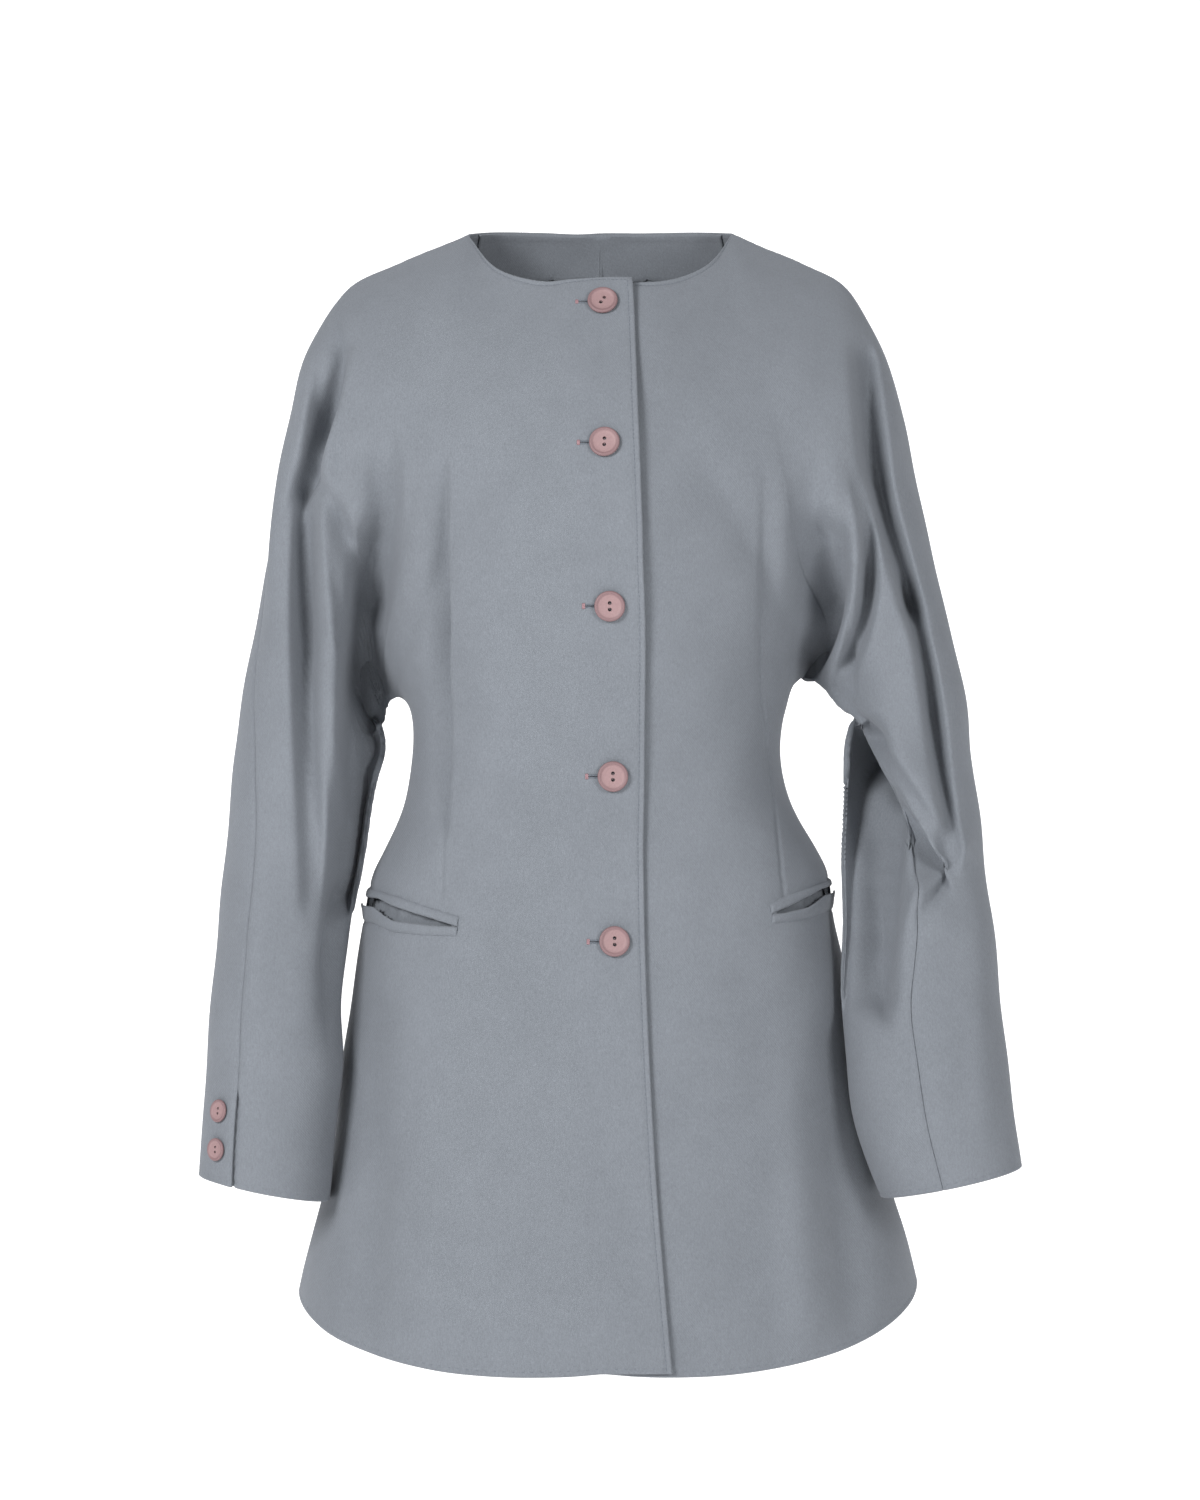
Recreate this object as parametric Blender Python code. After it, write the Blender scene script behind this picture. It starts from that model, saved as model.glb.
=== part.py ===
"""Long collarless wool jacket with sleeves cut in one with its fronts and backs.

Metres, +Z up, the front faces -Y. Tables are in millimetres. In the tables of one side x runs
outward from the centre line, so the same functions build both sides.
"""

import math

import bpy
import numpy as np
from mathutils import Vector
from mathutils.bvhtree import BVHTree
from mathutils.interpolate import poly_3d_calc

MM = 0.001
CLOTH = 2.0
SEAM_HALF = 0.15
LAP_LIFT = 3.6
LAY_GAP = 0.75
COLUMNS = 12
RUNG_POINTS = 120

# Body sections from the hem up to under the arm: the side seam point, the front edge and the centre back.
BODY_COLUMNS = "side_x side_y side_z edge_x edge_z front_y back_y back_z cells".split()
RIGHT_BODY = (
    (217, 14, -757, -49, -797, -150, 150, -800, 2),
    (207, 14, -718, -43.5, -735, -146, 146, -735, 2),
    (194, 14, -665, -39, -680, -139, 139, -680, 2),
    (186.5, 14, -600, -35, -612, -129, 129, -612, 2),
    (179.5, 13, -549, -32.4, -554, -121, 120, -554, 2),
    (171, 12, -495, -30.5, -498, -115, 111, -498, 1),
    (163.5, 11, -460, -29.8, -458, -111, 104, -458, 1),
    (155.5, 10, -442, -29.6, -436, -109, 98, -436, 1),
    (140.6, 9, -405, -30.2, -405, -107, 90, -405, 1),
    (134.3, 8, -373, -30.6, -372, -107, 86, -372, 1),
    (134.3, 8, -352, -30.8, -335, -114, 90, -335, 2),
)
LEFT_BODY = (
    (229, 24, -751, -12, -797, -150, 150, -800, 2),
    (219, 25, -715, -12, -735, -146, 146, -735, 2),
    (206, 26, -665, -12, -680, -139, 139, -680, 2),
    (192, 24, -600, -12, -612, -129, 129, -612, 2),
    (181.5, 20, -549, -12, -554, -121, 120, -554, 2),
    (170.5, 14, -495, -12, -498, -115, 111, -498, 1),
    (164.3, 12, -460, -12, -458, -111, 104, -458, 1),
    (155, 11, -440, -12, -436, -109, 98, -436, 1),
    (137.2, 9, -405, -12, -405, -107, 90, -405, 1),
    (130.2, 8, -373, -12, -372, -107, 86, -372, 1),
    (130.6, 8, -351, -12, -335, -114, 90, -335, 2),
)

# Points of the side seam over the arch under the arm, one for each yoke section.
ARCH_COLUMNS = "x y z cells".split()
RIGHT_ARCH = (
    (137, 8, -339, 2),
    (140, 8, -334.5, 3),
    (143, 8, -332.3, 4),
    (145.5, 8, -331.8, 2),
    (147.5, 8, -332, 1),
    (149.5, 8, -332.8, 2),
    (151.3, 8, -334.2, 2),
    (153, 7, -336.5, 2),
    (154.5, 6, -339.5, 2),
    (155.7, 5, -343, 2),
    (156.8, 5, -347.5, 3),
    (158, 5, -353, 3),
)
LEFT_ARCH = (
    (133.5, 8, -338, 2),
    (137, 8, -326, 3),
    (141, 7, -319.7, 4),
    (145, 6, -318.2, 2),
    (149, 4, -318.6, 1),
    (153, 2, -320.2, 2),
    (157, 0, -323.4, 2),
    (161, -3, -327, 2),
    (165, -6, -333, 2),
    (169.5, -10, -339, 2),
    (174.5, -16, -343.5, 3),
    (180.5, -24, -347.5, 3),
)

# Yoke sections fan out from the arch: the outer end, then the pull of the curve at the arch and at that end.
YOKE_COLUMNS = "x y z near_x near_y near_z far_x far_y far_z".split()
RIGHT_FRONT_YOKE = (
    (-30.9, -126, -285, 3, -82, 4, 80, 0, -2),
    (-29.5, -132, -230, 4, -88, 12, 85, -2, -14),
    (-26.5, -117, -140, 4, -98, 30, 84, -18, -42),
    (-22.4, -66, -38, 3, -118, 50, 54, -71, -102),
    (38, -58, -38.5, 2, -120, 63, 34, -71, -92),
    (72, -36, -27, 2, -124, 72, 20, -76, -92),
    (96, 8, 3, 3, -128, 82, 8, -104, -66),
    (144, 12, -16, 4, -122, 86, 5, -98, -55),
    (180, 12, -34, 5, -111, 85, 10, -86, -47),
    (208, 4, -76, 6, -95, 75, 18, -73, -30),
    (219, -4, -122, 6, -82, 55, 22, -62, -30),
    (229.7, -17, -190, 4, -78, 40, 26, -50, -34),
)
LEFT_FRONT_YOKE = (
    (-12, -126, -285, 3, -82, 4, 70, 0, -2),
    (-12, -132, -230, 4, -88, 12, 77, -2, -14),
    (-12, -117, -140, 4, -98, 30, 80, -18, -42),
    (-12, -66, -39, 3, -117, 50, 54, -70, -102),
    (42, -58, -38, 2, -119, 63, 34, -71, -92),
    (75, -36, -25, 2, -124, 72, 20, -76, -92),
    (96, 8, 3, 3, -128, 82, 8, -104, -66),
    (144, 12, -16, 4, -122, 86, 5, -98, -55),
    (178, 14, -36, 5, -112, 85, 12, -88, -47),
    (202, 22, -76, 6, -96, 75, 20, -86, -30),
    (213, 30, -117, 6, -85, 60, 24, -87, -26),
    (228, 40, -190, 4, -74, 50, 24, -96, -20),
)
BACK_YOKE = (
    (0, 101, -285, 3, 70, 4, 70, 4, -4),
    (0, 110, -230, 4, 78, 12, 74, 5, -20),
    (0, 116, -140, 4, 90, 28, 74, 14, -44),
    (0, 66, 10, 2, 110, 58, 56, 54, -66),
    (48, 62, 10, 2, 115, 64, 34, 50, -68),
    (78, 44, 8, 2, 120, 73, 20, 58, -65),
)
BACK_PULLS = (
    (2, 125, 80, 8, 102, -57),
    (3, 114, 84, 6, 90, -49),
    (4, 106, 82, 8, 83, -42),
    (6, 92, 72, 12, 78, -34),
    (6, 84, 58, 14, 76, -26),
    (4, 78, 44, 16, 74, -22),
)

# Sleeve sections down to the cuff: inner and outer side, middle and half depth, and the turn of the seams.
SLEEVE_COLUMNS = "in_x in_z out_x out_z mid_y half_y turn cells".split()
RIGHT_SLEEVE = (
    (156, -366, 255, -318, -6, 62, 36, 2),
    (161, -392, 261, -368, -10, 60, 47, 2),
    (167, -425, 265.5, -416, -14, 57, 57, 2),
    (174.7, -470, 271, -468, -20, 54, 63, 2),
    (179.5, -505, 273.5, -507, -27, 51, 63, 2),
    (184, -549, 276.5, -549, -34, 48, 62, 2),
    (182.8, -590, 279.5, -588, -40, 47, 63, 2),
    (186.5, -630, 282, -625, -44, 46, 64, 2),
    (192, -688, 284.5, -670, -47, 45, 64, 0),
)
LEFT_SLEEVE = (
    (176.6, -366, 262.5, -335, -12, 58, -46, 2),
    (176.2, -390, 266.5, -372, -16, 57, -64, 2),
    (175.2, -422, 271, -413, -22, 56, -80, 2),
    (173.6, -457, 275, -452, -28, 55, -88, 2),
    (172.4, -495, 279, -492, -40, 54, -86, 2),
    (171.5, -549, 283.5, -549, -52, 51, -79, 2),
    (174, -590, 288, -588, -60, 49, -80, 2),
    (180.5, -635, 292.5, -628, -66, 47, -81, 2),
    (198, -684, 297.5, -662, -67, 45, -79, 0),
)

FOLD_STEPS = 25
FOLD_END = 14
# Folds as soft ridges (height above 0) and troughs: a path of three points seen from the front, the width on
# its two sides, the share of the height kept at its ends, the way it looks (-1 front, 1 back) and its sections.
FOLD_COLUMNS = "x0 z0 x1 z1 x2 z2 minus plus height start end looks from_row to_row".split()
RIGHT_FOLDS = (
    (-166, -215, -168, -300, -163, -385, 16, 17, -10, 0.2, 0.6, -1, 13, 31),
    (-208, -190, -207, -300, -203, -445, 14, 16, -4, 0.9, 0.2, -1, 17, 31),
    (-166, -220, -170, -300, -168, -380, 17, 17, -9, 0.2, 0.6, 1, 13, 31),
    (-206, -180, -214, -270, -213, -390, 14, 15, -4, 0.3, 0.3, 1, 17, 31),
    (-120, -520, -128, -660, -140, -820, 28, 26, -7, 0.1, 1, 1, 0, 8),
    (-55, -540, -60, -680, -66, -820, 26, 26, 5, 0.1, 1, 1, 0, 8),
    (-168, -520, -164, -650, -170, -800, 22, 22, -4, 0.2, 1, -1, 0, 8),
)
LEFT_FOLDS = (
    (182, -358, 208, -404, 232, -452, 14, 16, -7, 0.4, 0.7, -1, 21, 31),
    (182, -190, 190, -256, 176, -311, 14, 15, -4, 0.3, 0.7, -1, 15, 31),
    (166, -220, 170, -290, 172, -380, 17, 17, -8, 0.2, 0.6, 1, 13, 31),
    (206, -170, 218, -270, 222, -380, 15, 14, -4, 0.3, 0.3, 1, 17, 31),
    (112, -520, 122, -660, 130, -820, 26, 28, -6.5, 0.1, 1, 1, 0, 8),
    (48, -540, 54, -680, 62, -820, 26, 26, 5, 0.1, 1, 1, 0, 8),
    (170, -540, 176, -680, 184, -780, 22, 22, -4, 0.2, 1, -1, 0, 8),
)

# The pocket mouths: share of the way from the side seam to the front edge, and four heights down the two welts.
POCKET_COLUMNS = "share upper_top upper_low lower_top lower_low stand".split()
RIGHT_POCKET = (
    (0.03, -468, -473.5, -480, -492, 3.2),
    (0.1, -469, -474.8, -481.2, -492.7, 3.2),
    (0.2, -469.7, -474.6, -481.7, -493.1, 2.6),
    (0.3, -473.1, -480.2, -490.6, -498, 0.8),
    (0.4, -478.9, -485.6, -492.3, -499.5, 0.2),
    (0.51, -485.6, -492.5, -493.4, -499.6, 0),
)
LEFT_POCKET = (
    (0.03, -461.5, -465.4, -470.5, -484, 2.4),
    (0.1, -462.5, -466.5, -472, -484.5, 2.2),
    (0.2, -464.3, -467.8, -473.2, -485.3, 1.4),
    (0.3, -467.9, -473.1, -480.9, -488.6, 0.4),
    (0.4, -472.9, -480.2, -484.2, -490.5, 0),
    (0.45, -477.7, -484, -485, -491, 0),
)
POCKET_STEPS = 12
WELT = 1.5
UPPER_STAND = 0.2
LOWER_MIDDLE_STAND = 0.35
MOUTH_SPARE = 2.2
MOUTH_ENDS = (0.015, -0.02)
MOUTH_DEPTH = 5
FACING_ENDS = (0.01, 0.02)
FACING_SPARE = 8
FACING_DROP = 2.4
FACING = 1.2

# Front buttons down the lap, and the cuff buttons on the back's edge of each vent.
BUTTON_X = (1.9, 3.2, 6.8, 9, 10)
BUTTON_Z = (-54.4, -156.4, -270, -387.8, -502.3)
BUTTON_RADIUS = 10.7
CUFF_BUTTON_RADIUS = 8.1
BUTTON_PROFILE = ((0.94, 0), (1, 0.5), (0.92, 1), (0.78, 0.8))
BUTTON_DISH = 0.72
BUTTON_HIGH = 3.2
CUFF_BUTTON_HIGH = 2.6
HOLE_RADIUS = 0.1
FIRST_BUTTON_TILT = math.radians(-31)
HOLE_APART = 0.42
HOLE_SIDES = 8
FRONT_BUTTON_SIDES = 16
CUFF_BUTTON_SIDES = 12
CUFF_BUTTON_ROWS = (29.93, 30.52)
CUFF_BUTTON_SHARE = 0.905
BUTTON_GAP = 0.8
VENT_TOP_ROW = 29.5
UNDERLAP_COLUMNS = 3
FACING_DEPTHS = (1.2, 14, 27, 40)
FACING_END_ROW = 16.3
INSIDE_GAP = 0.7

# Sections at which the outline turns a corner, and how the sections are rounded.
CORNER_ROWS = (14, 17)
CORNER_SHARPNESS = 8
LAST_BODY_ROW = 12
NECK_POINT_ROW = 17
CENTRE_BACK_ROW = 14
HIGHEST_LAP_ROW = 16.5
LAP_FROM = 44
LAP_FULL = 18
UNDER_SINK = 2
UNDER_FROM = 24
UNDER_FULL = 6
SECTION_FULL = 0.62
CENTRE_BEND = 0.0017
EDGE_POINTS = 12
SIDE_PULL = 2
HEM_DROOP = 0.45
HEM_SINK = -14
FOLD_VIEW = 1.8
VIEW_FROM = -1000
WOOL_ROUGHNESS = 0.9
BUTTON_ROUGHNESS = 0.6
WOOL = (0.105, 0.122, 0.155)
BUTTON = (0.26, 0.17, 0.19)


def table(columns, rows):
    return {name: np.array(values, float) for name, values in zip(columns, zip(*rows))}


def bezier(start, near, far, end):
    t = np.linspace(0, 1, RUNG_POINTS)[:, None]
    second = start + near
    third = end + far
    return (1 - t) ** 3 * start + 3 * (1 - t) ** 2 * t * second + 3 * (1 - t) * t**2 * third + t**3 * end


def past_centre(curve, edge_x):
    """The curve carried on level from the centre front to the front edge, which lies past it."""
    x = np.linspace(0, edge_x, EDGE_POINTS + 1)[1:]
    centre = curve[-1]
    beyond = np.stack([x, centre[1] + CENTRE_BEND * x**2 / 2, np.full(EDGE_POINTS, centre[2])], axis=1)
    return np.concatenate([curve, beyond])


def spread(points, shares):
    steps = np.linalg.norm(np.diff(points, axis=0), axis=1)
    run = np.concatenate([[0], np.cumsum(steps)])
    return np.stack([np.interp(shares * run[-1], run, points[:, axis]) for axis in range(3)], axis=1)


def body_rungs(rows, is_front):
    body = table(BODY_COLUMNS, rows)
    rungs = []
    for k in range(len(rows)):
        side = np.array([body["side_x"][k], body["side_y"][k], body["side_z"][k]])
        if is_front:
            end = np.array([0, body["front_y"][k], body["edge_z"][k]])
        else:
            end = np.array([0, body["back_y"][k], body["back_z"][k]])
        deep = SECTION_FULL * (end[1] - side[1])
        across = SECTION_FULL * (side[0] - end[0])
        droop = (end[2] - side[2]) * HEM_DROOP if k == 0 else 0
        sink = HEM_SINK if k == 0 else 0
        curve = bezier(side, np.array([SIDE_PULL, deep, droop]), np.array([across, 0, sink]), end)
        rungs.append(past_centre(curve, body["edge_x"][k]) if is_front else curve)
    return rungs


def yoke_rungs(arch_rows, yoke_rows):
    arch = table(ARCH_COLUMNS, arch_rows)
    yoke = table(YOKE_COLUMNS, yoke_rows)
    rungs = []
    for k in range(len(yoke_rows)):
        start = np.array([arch[axis][k] for axis in "xyz"])
        end = np.array([max(yoke["x"][k], 0), yoke["y"][k], yoke["z"][k]])
        near = np.array([yoke["near_" + axis][k] for axis in "xyz"])
        far = np.array([yoke["far_" + axis][k] for axis in "xyz"])
        curve = bezier(start, near, far, end)
        rungs.append(past_centre(curve, yoke["x"][k]) if yoke["x"][k] < 0 else curve)
    return rungs


def sleeve_rungs(rows, is_front):
    sleeve = table(SLEEVE_COLUMNS, rows)
    rungs = []
    for k in range(len(rows)):
        turn = sleeve["turn"][k]
        sweep = 180 if is_front else -180
        angle = np.radians(np.linspace(-turn, -turn + sweep, RUNG_POINTS))
        middle = (sleeve["in_x"][k] + sleeve["out_x"][k]) / 2
        half = (sleeve["out_x"][k] - sleeve["in_x"][k]) / 2
        x = middle - half * np.cos(angle)
        y = sleeve["mid_y"][k] - sleeve["half_y"][k] * np.sin(angle)
        rise = (sleeve["out_z"][k] - sleeve["in_z"][k]) / (2 * half)
        z = sleeve["in_z"][k] + rise * (x - sleeve["in_x"][k])
        rungs.append(np.stack([x, y, z], axis=1))
    return rungs


def weave(rungs, cells):
    """A grid through the rungs: a smooth curve along each column, with corners kept at the outer edge."""
    shares = np.linspace(0, 1, COLUMNS + 1)
    keys = np.array([spread(rung, shares) for rung in rungs])
    chord = np.diff(keys, axis=0)
    span = np.maximum(np.linalg.norm(chord, axis=2, keepdims=True), 0.01) ** 0.5
    slope = chord / span
    leave = np.empty_like(keys)
    leave[0] = slope[0]
    leave[-1] = slope[-1]
    leave[1:-1] = (slope[:-1] * span[1:] + slope[1:] * span[:-1]) / (span[1:] + span[:-1])
    arrive = leave.copy()
    sharp = (shares**CORNER_SHARPNESS)[:, None]
    for k in CORNER_ROWS:
        leave[k] = (1 - sharp) * leave[k] + sharp * slope[k]
        arrive[k] = (1 - sharp) * arrive[k] + sharp * slope[k - 1]
    lines = []
    for k, count in enumerate(cells):
        for step in range(count):
            t = step / count
            lines.append(
                (2 * t**3 - 3 * t**2 + 1) * keys[k]
                + (t**3 - 2 * t**2 + t) * span[k] * leave[k]
                + (3 * t**2 - 2 * t**3) * keys[k + 1]
                + (t**3 - t**2) * span[k] * arrive[k + 1]
            )
    lines.append(keys[-1])
    return np.array(lines)


def back_yoke(front_yoke):
    """The back's yoke ends where the front's does from the neck side outward, with pulls of its own."""
    shared = [tuple(row[:3]) + pull for row, pull in zip(front_yoke[len(BACK_YOKE):], BACK_PULLS)]
    return BACK_YOKE + tuple(shared)


def panel_grid(side, body, arch, yoke, sleeve, is_front):
    yoke_rows = yoke if is_front else back_yoke(yoke)
    rungs = body_rungs(body, is_front) + yoke_rungs(arch, yoke_rows) + sleeve_rungs(sleeve, is_front)
    cells = [int(row[-1]) for row in body + arch + sleeve][:-1]
    grid = weave(rungs, cells)
    grid[:, :, 0] *= side
    return grid


def unit(vectors):
    return vectors / np.maximum(np.linalg.norm(vectors, axis=-1, keepdims=True), 1e-9)


def grid_normals(grid, faces_front):
    """Normals facing out of the garment, told by the panel's outer edge at the hem."""
    normal = unit(np.cross(np.gradient(grid, axis=0), np.gradient(grid, axis=1)))
    looks = -1 if faces_front else 1
    return normal * np.sign(normal[0, -2, 1] * looks)


def row_marks(body, arch, sleeve):
    """The section number of each grid row, as a decimal between sections."""
    cells = [int(row[-1]) for row in body + arch + sleeve][:-1]
    marks = [k + step / count for k, count in enumerate(cells) for step in range(count)]
    return np.array(marks + [len(cells)])


def fold_path(first, middle, last):
    """A curved line through three points, with its directions."""
    bend = 2 * middle - (first + last) / 2
    t = np.linspace(0, 1, FOLD_STEPS)[:, None]
    path = (1 - t) ** 2 * first + 2 * t * (1 - t) * bend + t**2 * last
    return path, unit(np.gradient(path, axis=0))


def fold_push(grid, normals, marks, folds):
    """How far each point moves along its normal, as the sum of the soft folds that reach it."""
    push = np.zeros(grid.shape[:2])
    fold = table(FOLD_COLUMNS, folds)
    flat = grid[:, :, (0, 2)]
    for k in range(len(folds)):
        ends = [np.array([fold["x" + n][k], fold["z" + n][k]]) for n in "012"]
        path, way = fold_path(*ends)
        gap = flat[:, :, None, :] - path
        nearest = np.argmin((gap**2).sum(axis=3), axis=2)
        off = np.take_along_axis(gap, nearest[:, :, None, None], axis=2)[:, :, 0]
        beside = off[:, :, 0] * way[nearest][:, :, 1] - off[:, :, 1] * way[nearest][:, :, 0]
        beyond = off[:, :, 0] * way[nearest][:, :, 0] + off[:, :, 1] * way[nearest][:, :, 1]
        wide = np.where(beside > 0, fold["plus"][k], fold["minus"][k])
        shape = np.exp(-2 * (beside / wide) ** 2 - (beyond / FOLD_END) ** 2)
        share = nearest / (FOLD_STEPS - 1)
        strength = np.interp(share, [0, 0.5, 1], [fold["start"][k], 1, fold["end"][k]])
        seen = np.clip(normals[:, :, 1] * fold["looks"][k] * FOLD_VIEW, 0, 1)
        reach = (marks >= fold["from_row"][k]) & (marks <= fold["to_row"][k])
        push += fold["height"][k] * shape * strength * seen * reach[:, None]
    return push


def cell_faces(outer):
    """Two triangles for each grid cell, split along its shorter diagonal."""
    rows, columns = outer.shape[:2]
    index = np.arange(rows * columns).reshape(rows, columns)
    a, b, c, d = (part.ravel() for part in (index[:-1, :-1], index[1:, :-1], index[1:, 1:], index[:-1, 1:]))
    flat = outer.reshape(-1, 3)
    first_way = np.linalg.norm(flat[a] - flat[c], axis=1) <= np.linalg.norm(flat[b] - flat[d], axis=1)
    one = np.where(first_way, [a, b, c], [a, b, d]).T
    two = np.where(first_way, [a, c, d], [b, c, d]).T
    return index, np.concatenate([one, two])


def closed_sheet(name, outer, inner):
    """One closed body between two grids of the same size, split along the same diagonals."""
    count = outer.shape[0] * outer.shape[1]
    index, face = cell_faces(outer)
    rim = np.concatenate([index[:, 0], index[-1, 1:], index[-2::-1, -1], index[0, -2::-1]])
    first, second = rim[:-1], rim[1:]
    sides = np.concatenate(
        [np.stack([second, first, first + count], -1), np.stack([second, first + count, second + count], -1)]
    )
    faces = np.concatenate([face, face[:, ::-1] + count, sides])
    points = np.concatenate([outer.reshape(-1, 3), inner.reshape(-1, 3)])
    corners = points[faces]
    volume = np.einsum("ij,ij->", corners[:, 0], np.cross(corners[:, 1], corners[:, 2]))
    faces = faces[:, ::-1] if volume < 0 else faces
    return add_object(name, points, faces)


def add_object(name, points, faces):
    mesh = bpy.data.meshes.new(name)
    mesh.from_pydata((points * MM).tolist(), [], faces.tolist())
    mesh.update()
    piece = bpy.data.objects.new(name, mesh)
    bpy.context.scene.collection.objects.link(piece)
    return piece


def finish(piece, colour, roughness):
    material = bpy.data.materials.new(piece.name)
    material.use_nodes = True
    shader = material.node_tree.nodes["Principled BSDF"]
    shader.inputs["Base Color"].default_value = (*colour, 1)
    shader.inputs["Roughness"].default_value = roughness
    shader.inputs["Metallic"].default_value = 0
    piece.data.materials.append(material)


def drawn_in(grid):
    """The grid with each edge moved in by half a seam gap."""
    moved = grid.copy()
    moved[:, 0] += SEAM_HALF * unit(grid[:, 1] - grid[:, 0])
    moved[:, -1] += SEAM_HALF * unit(grid[:, -2] - grid[:, -1])
    return moved


def build_panels():
    """Grids and normals of the four panels, with folds, the front lap and shared normals at the seams."""
    sides = {
        "right": (-1, RIGHT_BODY, RIGHT_ARCH, RIGHT_FRONT_YOKE, RIGHT_SLEEVE, RIGHT_FOLDS),
        "left": (1, LEFT_BODY, LEFT_ARCH, LEFT_FRONT_YOKE, LEFT_SLEEVE, LEFT_FOLDS),
    }
    panels = {}
    for side_name, (side, body, arch, yoke, sleeve, folds) in sides.items():
        marks = row_marks(body, arch, sleeve)
        for face_name, is_front in (("front", True), ("back", False)):
            grid = panel_grid(side, body, arch, yoke, sleeve, is_front)
            normals = grid_normals(grid, is_front)
            grid += normals * fold_push(grid, normals, marks, folds)[:, :, None]
            if is_front:
                if side_name == "right":
                    height, start, full = LAP_LIFT, -LAP_FROM, -LAP_FULL
                else:
                    height, start, full = -UNDER_SINK, UNDER_FROM, UNDER_FULL
                lift = np.clip((grid[:, :, 0] - start) / (full - start), 0, 1)
                lift *= marks[:, None] < HIGHEST_LAP_ROW
                grid += normals * height * (3 * lift**2 - 2 * lift**3)[:, :, None]
            panels[side_name + "_" + face_name] = [grid, marks]
    for name in panels:
        panels[name].append(grid_normals(panels[name][0], name.endswith("front")))
    for side_name in sides:
        front = panels[side_name + "_front"]
        back = panels[side_name + "_back"]
        outer_rows = front[1] >= NECK_POINT_ROW
        for column, rows in ((0, slice(None)), (-1, outer_rows)):
            shared_line = (front[0][rows, column] + back[0][rows, column]) / 2
            shared_normal = unit(front[2][rows, column] + back[2][rows, column])
            for panel in (front, back):
                panel[0][rows, column] = shared_line
                panel[2][rows, column] = shared_normal
    centre_rows = panels["left_back"][1] <= CENTRE_BACK_ROW
    middle_normal = unit(panels["left_back"][2][centre_rows, -1] + panels["right_back"][2][centre_rows, -1])
    for name in ("left_back", "right_back"):
        panels[name][2][centre_rows, -1] = middle_normal
    return panels


def skin_of(grid, marks, normals):
    """A panel's outer face as a search tree, with what is needed to find places on it."""
    faces = cell_faces(grid)[1]
    points = grid.reshape(-1, 3)
    return {
        "grid": grid,
        "marks": marks,
        "normals": normals.reshape(-1, 3),
        "points": points,
        "faces": faces,
        "tree": BVHTree.FromPolygons([Vector(p) for p in points], faces.tolist()),
    }


def snapped(skin, place, index, out):
    """The place moved out along the smooth normal of the face that holds it."""
    corners = skin["faces"][index]
    weights = poly_3d_calc([Vector(skin["points"][c]) for c in corners], place)
    normal = sum(w * skin["normals"][c] for w, c in zip(weights, corners))
    normal = normal / np.linalg.norm(normal)
    return np.array(place) + normal * out, normal


def at_row(skin, row, share, out):
    """A place by section number and by share of the way from the inner seam."""
    grid = skin["grid"]
    column = share * (grid.shape[1] - 1)
    low = min(int(column), grid.shape[1] - 2)
    line = grid[:, low] + (column - low) * (grid[:, low + 1] - grid[:, low])
    guess = [np.interp(row, skin["marks"], line[:, axis]) for axis in range(3)]
    place, _, index, _ = skin["tree"].find_nearest(Vector(guess))
    return snapped(skin, place, index, out)


def row_at_height(skin, height, share):
    grid = skin["grid"]
    column = share * (grid.shape[1] - 1)
    low = min(int(column), grid.shape[1] - 2)
    line = grid[:, low] + (column - low) * (grid[:, low + 1] - grid[:, low])
    body = skin["marks"] <= LAST_BODY_ROW
    return np.interp(height, line[body, 2], skin["marks"][body])


def seen_at(skin, x, z, out):
    """The place on a front that shows at x and z in a level view from the front."""
    place, _, index, _ = skin["tree"].ray_cast(Vector((x, VIEW_FROM, z)), Vector((0, 1, 0)))
    return snapped(skin, place, index, out)


def laid_band(skin, shares, heights, outs):
    """A grid of places on a front: one row for each height, one column for each share."""
    rows = []
    for level, out in zip(heights, outs):
        rows.append(
            [at_row(skin, row_at_height(skin, z, share), share, o)[0] for share, z, o in zip(shares, level, out)]
        )
    return np.array(rows)


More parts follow.
